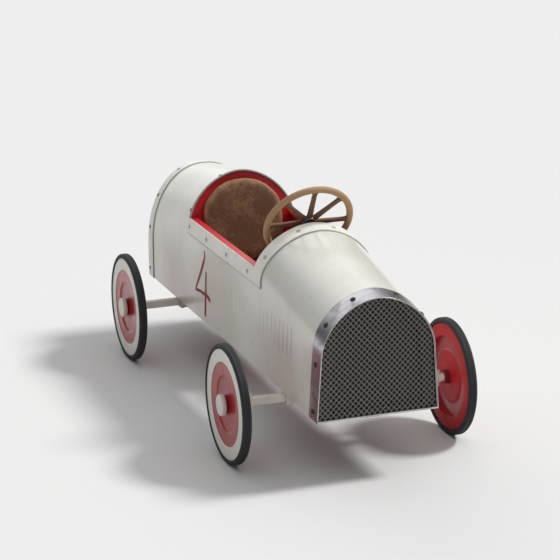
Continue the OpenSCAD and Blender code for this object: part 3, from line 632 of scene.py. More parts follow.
def recipes():
    """Each finish's maker and what it is made from."""
    c = bpy.context.scene.pedal_car_colours
    ivory, trim, aged, red, dye = (v[:] for v in (c.ivory, c.trim_ivory, c.ivory_aged, c.red, c.leather))
    deep = (0.22, 0.006, 0.012, 1)
    leather = {"Dye": dye, "Rubbed": c.leather_worn[:]}
    return {
        # coat, aged coat, roughness, age, darkening and wearing of the edges, streaks, bump and the shader's
        # own settings
        "ivory_enamel": (paint, ivory, aged, 0.30, 0.4, 0.5, 0.5, 0.12,
                         {"Coat Weight": 0.5, "Coat Roughness": 0.16}),
        "ivory_trim": (paint, trim, aged, 0.42, 0.35, 0.9, 0.3, 0.18),
        "ivory_beam": (paint, trim, aged, 0.42, 0.8, 0.9, 0.2, 0.2),
        # darker grey-green for the beads: painted shade along the edges of the bands and the cowl
        "dirty_edge": (paint, (0.43, 0.44, 0.385, 1), (0.30, 0.31, 0.26, 1), 0.5, 0.9, 0.9, 0.4, 0.3),
        "painted_screw": (paint, (0.50, 0.50, 0.45, 1), (0.30, 0.30, 0.26, 1), 0.45, 0.9, 1.0, 0.4, 0.3),
        # near-black and patchy: painted shade behind the grille and inside the body
        "dark_lining": (paint, (0.020, 0.019, 0.018, 1), (0.055, 0.052, 0.046, 1), 0.75, 1.0, 0.2, 0.4, 0.3),
        "red_enamel": (paint, red, deep, 0.38, 0.35, 0.5, 0.3, 0.12,
                       {"Coat Weight": 0.15, "Coat Roughness": 0.2}),
        # near-black red for the rails under the body: painted shade that keeps the floor under the car dark
        "red_primer": (paint, (0.075, 0.014, 0.013, 1), (0.045, 0.012, 0.010, 1), 0.6, 0.9, 0.4, 0.4, 0.12),
        "numeral_paint": (paint, c.numeral[:], (0.36, 0.03, 0.035, 1), 0.42, 0.9, 0.0, 0.5, 0.4),
        "wheel_ivory": (paint, c.wheel_ivory[:], aged, 0.36, 0.5, 0.6, 0.25, 0.12),
        "wheel_red": (paint, c.wheel_red[:], deep, 0.32, 0.5, 0.5, 0.25, 0.12,
                      {"Coat Weight": 0.3, "Coat Roughness": 0.22}),
        "wheel_inside": (paint, (0.47, 0.010, 0.016, 1), (0.30, 0.006, 0.010, 1), 0.5, 0.5, 0.3, 0.2, 0.12,
                         {"Specular IOR Level": 0.25}),
        # a darker red round the hub: painted shade under the hub cap
        "wheel_hub": (paint, (0.20, 0.008, 0.012, 1), (0.10, 0.006, 0.008, 1), 0.5, 0.8, 0.4, 0.4, 0.12,
                      {"Specular IOR Level": 0.3}),
        # metal, tarnish, roughness, amount of tarnish, scale of the lines and bump
        "polished_steel": (metal, (0.60, 0.59, 0.615), (0.14, 0.12, 0.12), 0.27, 0.65, 420.0, 0.1),
        "dark_screw": (metal, (0.085, 0.08, 0.08), (0.02, 0.017, 0.016), 0.36, 0.8, 900.0, 0.4),
        "dull_screw": (metal, (0.34, 0.33, 0.30), (0.10, 0.09, 0.075), 0.42, 0.8, 900.0, 0.4),
        "grille_wire": (metal, (0.66, 0.655, 0.64), (0.12, 0.11, 0.10), 0.33, 0.9, 800.0, 0.1),
        "oiled_steel": (metal, (0.25, 0.24, 0.23), (0.06, 0.05, 0.045), 0.40, 0.7, 500.0, 0.3),
        # light grain, dark grain, how much it was handled, specular level and the map of its grain
        "rim_wood": (wood, c.wood[:], c.wood_dark[:], 0.45, 0.22, "grain"),
        "spoke_wood": (wood, (0.42, 0.205, 0.075, 1), (0.21, 0.088, 0.030, 1), 0.45, 0.3, "grain"),
        "former_wood": (wood, (0.20, 0.12, 0.06, 1), (0.08, 0.045, 0.022, 1), 0.4, 0.5),
        "seat_leather": (finish_from, "old_hide", leather, 0.45, 0.0005, {"Specular IOR Level": 0.35},
                         None, "rub"),
        # base colour and the scale of the pits
        "tyre_rubber": (rubber, c.rubber[:], 900.0),
        "pedal_rubber": (rubber, c.rubber[:], 500.0),
        "studio_floor": (floor_finish, c.floor[:]),
    }


def finish(name):
    """The material of that name, made the first time it is asked for."""
    known = bpy.data.materials.get(name)
    if known:
        return known
    make, *given = recipes()[name]
    return make(name, *given)


# ---- frames of the tilted parts ----


def tilted(y, z, angle):
    """A frame at (y, z) in millimetres on the car's middle plane, turned about X."""
    return Matrix.Translation(Vector((0, y, z)) * MM) @ Matrix.Rotation(angle, 4, "X")


SEAT_BACK_Z = 355.6
COLUMN = tilted(-182.6, 445, math.radians(-60.6))
SEAT_BACK = tilted(256, SEAT_BACK_Z, -math.atan(0.172))


def screw(bm, where, outward, diameter, height, turn, cross):
    """A domed screw head with a slot or a cross, on a surface point with its outward direction."""
    cells_across, slot_half, slot_reach, slot_depth = 14, 0.10, 0.62, 0.45
    start = set(bm.verts)
    bmesh.ops.create_grid(bm, x_segments=cells_across, y_segments=cells_across, size=1.0)
    new = [v for v in bm.verts if v not in start]
    for v in new:
        u, w = v.co.x, v.co.y
        x = u * math.sqrt(max(0.0, 1 - w * w / 2))
        y = w * math.sqrt(max(0.0, 1 - u * u / 2))
        r = min(1.0, math.hypot(x, y))
        dome = 0.35 + 0.65 * math.sqrt(max(0.0, 1 - (0.96 * r) ** 2))
        in_slot = abs(u) < slot_half and (not cross or abs(w) < slot_reach)
        in_slot = in_slot or (cross and abs(w) < slot_half and abs(u) < slot_reach)
        v.co = Vector((x * diameter / 2, y * diameter / 2, height * (dome - slot_depth * in_slot)))
    rim = [e for e in bm.edges if e.is_boundary and e.verts[0] in set(new)]
    skirt = bmesh.ops.extrude_edge_only(bm, edges=rim)["geom"]
    for v in skirt:
        if isinstance(v, bmesh.types.BMVert):
            v.co.z = -0.4 * height
            new.append(v)
    carry(bm, standing(where, outward) @ Matrix.Rotation(turn, 4, "Z"), new)


def on_skin(first, last, t, side, z, off=0.0):
    """A point on the body's outside and the direction straight out of it, in metres."""

    def at(share, height):
        section = mix(first, last, share)
        return Vector((side * half_width(section, height, off), slant_y(section, height), height))

    up = at(t, z + 2) - at(t, z - 2)
    back = at(t + 0.01, z) - at(t - 0.01, z)
    return at(t, z) * MM, (back.cross(up) * side).normalized()


# ---- operators ----


class PieceOperator:
    """What every operator of the add-on shares."""

    bl_options = {"REGISTER", "UNDO"}

    @property
    def sizes(self):
        return bpy.context.scene.pedal_car_sizes


class PEDALCAR_OT_body_shell(PieceOperator, bpy.types.Operator):
    """Wraps the sheet steel body in one piece and cuts the cockpit out of it"""

    bl_idname = "pedal_car.body_shell"
    bl_label = "Body shell"

    # spans between the rings of the nose, the cockpit and the tail
    spans = (16, 12, 14)
    # the sheet's inside is red round the cockpit, from this span on and above this height; everywhere else it
    # is near-black, painted shade inside and under the body
    red_from = 12
    red_above = 0.215

    def execute(self, context):
        nose, cockpit, tail = self.spans
        bm = bmesh.new()
        rings = [section_ring(mix(NOSE, HOOD, t / nose), shift=mix(2, 0, t / nose)) for t in range(nose + 1)]
        rings += [section_ring(mix(HOOD, COWL, t / cockpit)) for t in range(1, cockpit + 1)]
        rings += [
            section_ring(mix(COWL, TAIL, t / tail), shift=mix(0, -2, t / tail)) for t in range(1, tail + 1)
        ]
        spans = loft(bm, rings)
        for k, span in enumerate(spans):
            for face in span:
                red = self.red_from <= k < nose + cockpit and face.calc_center_median().z >= self.red_above
                face.material_index = 2 if red else 0
        sill = SILL * MM - 1e-5
        sides = spans[nose:nose + cockpit]
        opening = [f for span in sides for f in span if all(v.co.z > sill for v in f.verts)]
        bmesh.ops.delete(bm, geom=opening, context="FACES")
        merge(bm)
        for v in bm.verts:  # old sheet is never quite true
            if abs(v.co.z - SILL * MM) > 0.012 and FOOT * MM + 0.01 < v.co.z:
                lump = noise.noise(v.co * 9.0) * 0.00035
                v.co.x += math.copysign(lump, v.co.x) if abs(v.co.x) > 0.03 else 0.0
        face_outwards(bm)
        # the inside's near-black is painted shade
        shell = piece("body_shell", bm, ["ivory_enamel", "dark_lining", "ivory_enamel", "red_enamel"],
                      slot="ivory_paint",
                      replaces=("hood_skin", "tail_skin", "side_panel_left", "side_panel_right"),
                      sharp=60, clean=False)
        thicken(shell, self.sizes.sheet_gauge, -1.0, inside=1)
        ease_edges(shell, 0.0004, angle=55)
        self.rolled_cowl_edge()
        return {"FINISHED"}

    def rolled_cowl_edge(self):
        """The wired edge that stiffens the sheet where the cockpit ends."""
        bm = bmesh.new()
        path = [p for p in section_ring(COWL, off=-0.6) if p.z > SILL * MM - 1e-4]
        tube(bm, path, 0.0024, sides=12, up=BACKWARDS)
        # its darker grey-green is painted shade along the cockpit's edge
        piece("cowl_bead", bm, ["dirty_edge"], slot="ivory_paint", sharp=60)


class PEDALCAR_OT_bands(PieceOperator, bpy.types.Operator):
    """Lays the bands round the nose, the hood and the tail and the strips along the sills"""

    bl_idname = "pedal_car.bands"
    bl_label = "Bands and sill strips"

    def execute(self, context):
        s = self.sizes
        nose = mix(NOSE, HOOD, s.nose_band / MM / (HOOD[0] - NOSE[0]))
        hood = mix(NOSE, HOOD, 1 - s.hood_band / MM / (HOOD[0] - NOSE[0]))
        tail = mix(COWL, TAIL, 1 - s.tail_band / MM / (TAIL[0] - COWL[0]))
        low = SILL - s.sill_strip / MM
        self.band("nose", NOSE, nose, FOOT, FOOT, "polished_steel", "bare_steel")
        self.band("hood", hood, HOOD, low, SILL, "ivory_trim", "ivory_paint")
        self.band("tail", tail, TAIL, FOOT, FOOT, "ivory_trim", "ivory_paint")
        for name, side in SIDES.items():
            self.strip(name, side, low)
        self.grille_rim()
        self.bead("hood_trim_bead", section_ring(hood, off=0.4, low=low), 0.0025)
        self.bead("tail_trim_bead", section_ring(tail, off=0.5), 0.0018)
        for name, side in SIDES.items():
            path = []
            for k in range(12):
                y = mix(HOOD[0] - s.hood_band / MM, COWL[0], k / 11)
                path.append(Vector((side * half_width(section_at(y), low, 0.8), y, low)) * MM)
            self.bead(f"sill_trim_bead_{name}", path, 0.0012)
        return {"FINISHED"}

    def bead(self, name, path, radius):
        """The rolled edge of a band, in a darker grey-green that is painted shade along the band's edge."""
        bm = bmesh.new()
        tube(bm, path, radius, sides=10, up=BACKWARDS)
        piece(name, bm, ["dirty_edge"], slot="ivory_paint", sharp=60)

    def band(self, name, first, last, low0, low1, finish_name, slot):
        bm = bmesh.new()
        shares = [k / 8 for k in range(9)]
        loft(bm, [section_ring(mix(first, last, t), off=0.3, low=mix(low0, low1, t)) for t in shares])
        merge(bm)
        bmesh.ops.dissolve_degenerate(bm, edges=bm.edges, dist=2e-6)
        self.plate(f"{name}_trim", bm, finish_name, slot, f"{name}_band")

    def plate(self, name, bm, finish_name, slot, node):
        """Gives a sheet of faces the band's gauge, outwards."""
        face_outwards(bm)
        made = piece(name, bm, [finish_name], slot=slot, replaces=(node,), sharp=60, clean=False)
        thicken(made, self.sizes.band_gauge, 1.0)
        ease_edges(made, 0.00045, segments=3, angle=50)

    def strip(self, name, side, low):
        bm = bmesh.new()
        levels = [mix(low, SILL, j / 7) for j in range(8)]
        rings = []
        for k in range(15):
            ring = []
            for z in levels:
                front = HOOD[0] - self.sizes.hood_band / MM * (SILL - z) / (SILL - low)
                y = mix(front, COWL[0], k / 14)
                ring.append(Vector((side * half_width(section_at(y), z, 0.3), y, z)) * MM)
            rings.append(ring)
        loft(bm, rings)
        self.plate(f"sill_trim_{name}", bm, "ivory_trim", "ivory_paint", f"sill_strip_{name}")

    def grille_rim(self):
        """The folded lip that closes the nose along its bottom edge."""
        bm = bmesh.new()
        wide = half_width(NOSE, FOOT) - 0.5
        outline = eased([(-579, 139.1, .3), (-571, 139.1, .3), (-571, 140.9, .3), (-576.5, 140.9, .3),
                         (-576.5, 142.6, .4), (-579, 142.6, .4)])
        rings = [[Vector((x, y, z)) * MM for y, z in outline] for x in (-wide, -wide / 2, 0, wide / 2, wide)]
        loft(bm, rings, closed=True, caps=True)
        piece("nose_lip", bm, ["polished_steel"], slot="bare_steel")


class PEDALCAR_OT_louvres(PieceOperator, bpy.types.Operator):
    """Presses a row of shallow upright ribs into each side of the hood"""

    bl_idname = "pedal_car.louvres"
    bl_label = "Hood ribs"

    # in millimetres: the row starts at its rearmost rib
    count, last, pitch = 16, -62, 23.5
    lift, half = 1.5, 4.4

    def execute(self, context):
        for name, side in SIDES.items():
            bm = bmesh.new()
            for k in range(self.count):
                self.rib(bm, side, self.last - self.pitch * k, 212 + 0.35 * k, 284 + 1.4 * k)
            face_outwards(bm)
            piece(f"hood_ribs_{name}", bm, ["ivory_enamel"], slot="ivory_paint", sharp=80, clean=False)
        return {"FINISHED"}

    def rib(self, bm, side, y, low, high):
        rings = []
        for j in range(13):
            t = j / 12
            z = mix(low, high, t)
            swell = min(1.0, math.sin(math.pi * t) * 1.9)
            ring = []
            for i in range(7):
                u = i / 3 - 1
                lift = self.lift * swell * (1 + math.cos(math.pi * u)) / 2 - 0.12
                at = y + u * self.half
                ring.append(Vector((side * half_width(section_at(at), z, lift), at, z)) * MM)
            rings.append(ring)
        loft(bm, rings)


class PEDALCAR_OT_grille(PieceOperator, bpy.types.Operator):
    """Weaves the diamond wire grille across the nose"""

    bl_idname = "pedal_car.grille"
    bl_label = "Wire grille"

    lean = 1.05
    middle_y = -574.0
    crimp = 0.42

    def inside(self, x, z):
        return (z > FOOT + 1.6 and z < NOSE[3] + NOSE[4] - 2.2
                and abs(x) < half_width(NOSE, z, -1.5) - 0.6)

    def execute(self, context):
        bm = bmesh.new()
        pitch = self.sizes.wire_pitch / MM
        for way in (1, -1):
            c = -380.0 // pitch * pitch
            while c < 380:
                self.wire(bm, way, c, pitch)
                c += pitch
        piece("wire_grille", bm, ["grille_wire"], slot="grille_wire", replaces=("nose_mesh",), sharp=80)
        return {"FINISHED"}

    def wire(self, bm, way, start, pitch):
        step = pitch / 6
        path = []
        for i in range(-70, 71):
            x = i * step
            z = FOOT + way * self.lean * (x - start)
            if not self.inside(x, z):
                continue
            # over one wire and under the next, in step with the wires that lean the other way
            swing = math.cos(math.pi * 2 * x / pitch - math.pi * start / pitch)
            path.append(Vector((x, self.middle_y + way * self.crimp * swing, z)) * MM)
        if len(path) > 3:
            tube(bm, path, self.sizes.wire_radius, sides=5, up=BACKWARDS)


class PEDALCAR_OT_screws(PieceOperator, bpy.types.Operator):
    """Drives the screws into the bands, the sill strips and the cowl"""

    bl_idname = "pedal_car.screws"
    bl_label = "Screws"

    # in millimetres: the screws' heights, and their places along Y on the sill
    nose_heights = (157, 255, 335, 382)
    hood_heights = (388, 441)
    cowl_heights = (376, 450)
    tail_heights = (159, 264, 342, 403)
    along_sill = (-154, -16, 122, 246)
    # how far a head on a band stands off the skin, and how far a nose screw is from the nose's edge
    on_band, from_nose = 1.55, 26

    def execute(self, context):
        span, rest = HOOD[0] - NOSE[0], TAIL[0] - COWL[0]
        off = self.on_band
        bm = bmesh.new()
        cups = bmesh.new()
        for side in SIDES.values():
            for k, z in enumerate(self.nose_heights):
                where, out = on_skin(NOSE, HOOD, self.from_nose / span, side, z, off)
                screw(bm, where + out * 0.0006, out, 9.4 * MM, 2.6 * MM, 0.5 + k * 1.1, True)
                self.cup(cups, where, out)
        piece("nose_band_screws", bm, ["dark_screw"], slot="screw_steel", replaces=("nose_screws",), sharp=50)
        piece("nose_screw_cups", cups, ["dark_screw"], slot="screw_steel", sharp=50)
        painted = [(NOSE, HOOD, 1 - 22.5 / span, z, off, 9.5, 1.7) for z in self.hood_heights]
        painted += [(HOOD, COWL, (y - HOOD[0]) / (COWL[0] - HOOD[0]), SILL - 17.5, off, 9.5, 1.6)
                    for y in self.along_sill]
        bare = [(COWL, TAIL, 0.035, z, 0.1, 8.5, 1.6) for z in self.cowl_heights]
        bare += [(COWL, TAIL, 1 - 12 / rest, z, off, 8.5, 1.9) for z in self.tail_heights]
        self.row("trim_screw_heads", painted, "painted_screw", ("trim_screws",))
        self.row("tail_screw_heads", bare, "dull_screw", ())
        return {"FINISHED"}

    def cup(self, bm, where, out):
        """The raised washer that a nose screw sits in."""
        start = set(bm.verts)
        lathe(bm, eased([(3.6, -0.4, 0), (6.2, -0.4, 0), (6.2, 0.5, 0.4), (5.2, 1.3, 0.4), (4.4, 1.3, 0.3),
                         (3.6, 0.3, 0)]), 28)
        carry(bm, standing(where, out), [v for v in bm.verts if v not in start])

    def row(self, name, spots, finish_name, nodes):
        bm = bmesh.new()
        for side in SIDES.values():
            for k, (first, last, t, z, off, across, high) in enumerate(spots):
                where, out = on_skin(first, last, t, side, z, off)
                screw(bm, where, out, across * MM, high * MM, 0.3 + k * 0.9, False)
        piece(name, bm, [finish_name], slot="screw_steel", replaces=nodes, sharp=50)


class PEDALCAR_OT_numeral(PieceOperator, bpy.types.Operator):
    """Brushes the race number on both sides"""

    bl_idname = "pedal_car.numeral"
    bl_label = "Race number"

    # on the far side the number runs the other way, from this y back
    mirrored = 300
    # each stroke: points (y, z) along it and the brush's half width at its ends and its middle
    strokes = (
        (((143, 311), (141, 296), (153, 276), (172, 250), (196, 220), (209, 203)), (4.2, 6.4, 4.6)),
        (((213, 201), (192, 204), (175, 206), (142, 207), (121, 206), (104, 200)), (4.2, 4.4, 6.6)),
        (((132, 264), (134, 244), (136, 220), (139, 196), (141, 172), (143, 154)), (5.4, 6.6, 7.0)),
    )

    def execute(self, context):
        for name, side in SIDES.items():
            bm = bmesh.new()
            for k, (points, widths) in enumerate(self.strokes):
                self.stroke(bm, side, points, widths, k)
            face_outwards(bm)
            piece(f"race_number_{name}", bm, ["numeral_paint"], slot="red_paint", sharp=80, clean=False)
        return {"FINISHED"}

    def stroke(self, bm, side, points, widths, seed):
        curve = []
        for i in range(len(points) - 1):
            near = (min(max(k, 0), len(points) - 1) for k in range(i - 1, i + 3))
            p0, p1, p2, p3 = (Vector(points[k]) for k in near)
            for j in range(8):
                t = j / 8
                curve.append(0.5 * (2 * p1 + (p2 - p0) * t + (2 * p0 - 5 * p1 + 4 * p2 - p3) * t * t
                                    + (3 * p1 - p0 - 3 * p2 + p3) * t ** 3))
        curve.append(Vector(points[-1]))
        rings = []
        count = len(curve) - 1
        for i, p in enumerate(curve):
            t = i / count
            along = (curve[min(i + 1, count)] - curve[max(i - 1, 0)]).normalized()
            across = Vector((-along.y, along.x))
            half = mix(widths[0], widths[1], t * 2) if t < 0.5 else mix(widths[1], widths[2], t * 2 - 1)
            end = min(t, 1 - t) * count / 2.6
            half *= math.sqrt(max(0.02, 1 - max(0.0, 1 - end) ** 2))
            half *= 1 + 0.07 * noise.noise(Vector((i * 0.45, seed * 7.0, 1.5)))
            ring = []
            for u in (-1, -0.8, -0.4, 0, 0.4, 0.8, 1):
                q = p + across * half * u
                y = q.x if side < 0 else self.mirrored - q.x
                lift = 0.30 * (1 - u * u) ** 0.6 + (0.0 if abs(u) < 1 else -0.1) + 0.04 * seed
                ring.append(Vector((side * half_width(section_at(y), q.y, lift + 0.05), y, q.y)) * MM)
            rings.append(ring)
        loft(bm, rings)


def lay_grain(made, local, wrap=None):
    """Writes the piece's own map. local gives (u, v) in metres for a point, wrap is U's full turn."""
    mesh = made.data
    layer = mesh.uv_layers.new(name="grain")
    for polygon in mesh.polygons:
        spots = [local(mesh.vertices[mesh.loops[k].vertex_index].co) for k in polygon.loop_indices]
        first = spots[0]
        for k, (u, v) in zip(polygon.loop_indices, spots):
            if wrap:
                u += wrap[0] * round((first[0] - u) / wrap[0])
                if len(wrap) > 1:
                    v += wrap[1] * round((first[1] - v) / wrap[1])
            layer.data[k].uv = (u, v)


class PEDALCAR_OT_steering_wheel(PieceOperator, bpy.types.Operator):
    """Turns the steering wheel's wooden rim, its tapered spokes and its boss"""

    bl_idname = "pedal_car.steering_wheel"
    bl_label = "Steering wheel"

    def execute(self, context):
        s = self.sizes
        ring, thick = s.rim_radius / MM, s.rim_section / MM / 2
        bm = bmesh.new()
        lathe(bm, [(ring + thick * math.cos(a), 0.96 * thick * math.sin(a)) for a in turns(28)], 120)
        carry(bm, COLUMN)
        rim = piece("steering_wheel_rim", bm, ["rim_wood"], "steering", "rim_wood", ("steering_rim",),
                    sharp=80)
        back = COLUMN.inverted()

        def round_rim(co):
            p = back @ co
            turn = math.atan2(p.y, p.x)
            out = math.hypot(p.x, p.y) - ring * MM
            return turn * ring * MM, math.atan2(p.z, out) * thick * MM

        lay_grain(rim, round_rim, (math.tau * ring * MM, math.tau * thick * MM))
        self.spokes(s.spokes, ring - thick)
        self.boss()
        return {"FINISHED"}

    def spokes(self, count, reach):
        """Rounded bars that narrow towards the rim, with a foot that flares into it."""
        # distance from the middle, half width and half height
        sections = (
            (9, 8.2, 4.8), (16, 7.4, 4.7), (22, 6.6, 4.5), (40, 6.0, 4.2), (60, 5.4, 4.0),
            (reach - 7, 5.4, 4.0), (reach - 2.5, 6.0, 4.4), (reach + 1.0, 7.2, 5.0),
        )
        bm = bmesh.new()
        for i in range(count):
            start = set(bm.verts)
            rings = []
            for x, wide, high in sections:
                rings.append([
                    Vector((x, wide * math.copysign(abs(math.cos(a)) ** 0.7, math.cos(a)),
                            high * math.copysign(abs(math.sin(a)) ** 0.7, math.sin(a)))) * MM
                    for a in turns(16, 0.5)
                ])
            loft(bm, rings, closed=True, caps=True)
            new = [v for v in bm.verts if v not in start]
            carry(bm, COLUMN @ Matrix.Rotation(math.tau * i / count, 4, "Z"), new)
        made = piece("steering_wheel_spokes", bm, ["spoke_wood"], "steering", "spoke_wood",
                     ("steering_spider",), sharp=70)
        back = COLUMN.inverted()

        def along_spoke(co):
            p = back @ co
            part = math.tau / count
            k = round(math.atan2(p.y, p.x) / part)
            q = Matrix.Rotation(-k * part, 4, "Z") @ p
            return q.x + k * 0.31, q.y + q.z * 0.6 + k * 0.07

        lay_grain(made, along_spoke)

    def boss(self):
        bm = bmesh.new()
        lathe(bm, eased([(0, -8, 0), (15, -8, 1.5), (17, -5.5, 1.5), (17, 3.5, 1.5), (15.5, 5.4, 1),
                         (11, 6.2, 0.6), (0, 6.2, 0)]), 64)
        carry(bm, COLUMN)
        piece("steering_boss", bm, ["oiled_steel"], "steering", "oiled_steel")
        bm = bmesh.new()
        rings = [
            [Vector((r * math.cos(a), r * math.sin(a), z)) * MM for a in turns(6)]
            for r, z in ((6.4, 5.6), (6.4, 8.6), (5.9, 9.3))
        ]
        loft(bm, rings, closed=True, caps=True)
        lathe(bm, eased([(0, 9, 0), (3.1, 9, 0.2), (3.1, 10.0, 0.8), (0, 10.4, 0)]), 24)
        carry(bm, COLUMN)
        nut = piece("steering_nut", bm, ["polished_steel"], "steering", "bare_steel", sharp=30)
        ease_edges(nut, 0.0003, angle=30)


class PEDALCAR_OT_wheels(PieceOperator, bpy.types.Operator):
    """Spins the four tyres, pressed discs and hub caps"""

    bl_idname = "pedal_car.wheels"
    bl_label = "Wheels"

    # where the disc's paints meet: radii, and distances from the car's middle
    ring_from, ring_above = 89.0, 255.0
    # inside this radius the disc is painted a darker red, as painted shade round the hub cap
    hub_to, outside_above = 20.0, 250.0
    # each outline is (radius, distance from the car's middle, radius of the corner)
    tyre = (
        (112, 244.2, 0), (116.4, 244.2, 0), (116.4, 240.6, 0.4), (119, 239.5, 1.2), (124.3, 240.1, 2.2),
        (127, 243.4, 1.8), (127, 246.6, 0.5), (126.3, 247.2, 0.3), (126.3, 248.0, 0.3), (127, 248.6, 0.5),
        (127, 250.2, 0.5), (126.3, 250.8, 0.3), (126.3, 251.6, 0.3), (127, 252.2, 0.5),
        (127, 255.4, 1.8), (124.3, 258.7, 2.2), (119, 259.3, 1.2), (116.4, 258.3, 0.4),
        (116.4, 255.2, 0), (112, 255.2, 0),
    )
    plate = (
        (5.05, 236, 0), (15, 236, 0.6), (15, 247, 1.5), (30, 248.5, 2), (55, 249, 2), (60, 251.5, 2),
        (87.9, 252.5, 0.5), (87.9, 243.4, 0.5), (89.4, 242, 1.2), (114.2, 242, 1), (115.2, 243, 1),
        (115.2, 244, 0), (91.4, 244, 0), (91.4, 255.3, 0), (115.8, 255.3, 0), (116.2, 256.6, 0.5),
        (115.6, 257.3, 0.5), (90.6, 257.3, 0.6), (89.4, 256.6, 0.5), (87.6, 255.4, 0.6), (86, 255.2, 0.5),
        (73, 254.8, 1.0), (61.5, 254.3, 1.4), (59.4, 252.6, 1.0), (57, 251.2, 1.4), (44, 251.0, 1),
        (32, 251.2, 1.5), (24, 252.4, 2), (18.4, 254.5, 1.5), (17, 257.5, 1), (17, 262, 0.4), (5.05, 262, 0),
    )
    cap = (
        (17, 259.5, 0), (22.2, 259.5, 0.3), (22.9, 260.2, 0.3), (22.9, 267.2, 0.9), (21.6, 268.8, 1.0),
        (12, 269.0, 1.0), (0, 269.0, 0), (0, 266.8, 0), (19.5, 266.8, 0), (19.5, 262.2, 0), (17, 262.2, 0),
    )

    def execute(self, context):
        for axle, y in AXLES.items():
            for name, side in SIDES.items():
                middle = Matrix.Translation(Vector((0, y, WHEEL_RADIUS)) * MM)
                place = middle @ Matrix.Rotation(side * math.pi / 2, 4, "Y")
                label = f"{axle}_{name}"
                body = BODY_OF[f"{label}_wheel"]
                self.turned(f"{label}_rubber", self.tyre, place, body, ["tyre_rubber"], "tyre_rubber",
                            f"{label}_tyre", 112)
                self.disc(label, place, body)
                self.turned(f"{label}_hub_cap", self.cap, place, body, ["wheel_ivory"], "wheel_paint",
                            f"{label}_cap", 48)
        return {"FINISHED"}

    def turned(self, name, outline, place, body, finishes, slot, node, segments):
        bm = bmesh.new()
        lathe(bm, eased(outline), segments)
        carry(bm, place)
        piece(name, bm, finishes, body, slot, (node,), sharp=38)

    def disc(self, label, place, body):
        """The disc is red but for its flat outer ring; the two paints meet along the faces' edges."""
        bm = bmesh.new()
        lathe(bm, eased(self.plate), 112)
        merge(bm)
        for face in bm.faces:
            c = face.calc_center_median()
            r, h = math.hypot(c.x, c.y) / MM, c.z / MM
            if r > self.ring_from and h > self.ring_above:
                face.material_index = 1
            # the darker red round the hub is painted shade
            elif r < self.hub_to:
                face.material_index = 3
            else:
                face.material_index = 0 if h > self.outside_above else 2
        carry(bm, place)
        finishes = ["wheel_red", "wheel_ivory", "wheel_inside", "wheel_hub"]
        piece(f"{label}_disc", bm, finishes, body, "wheel_paint", (f"{label}_wheel",), sharp=38)


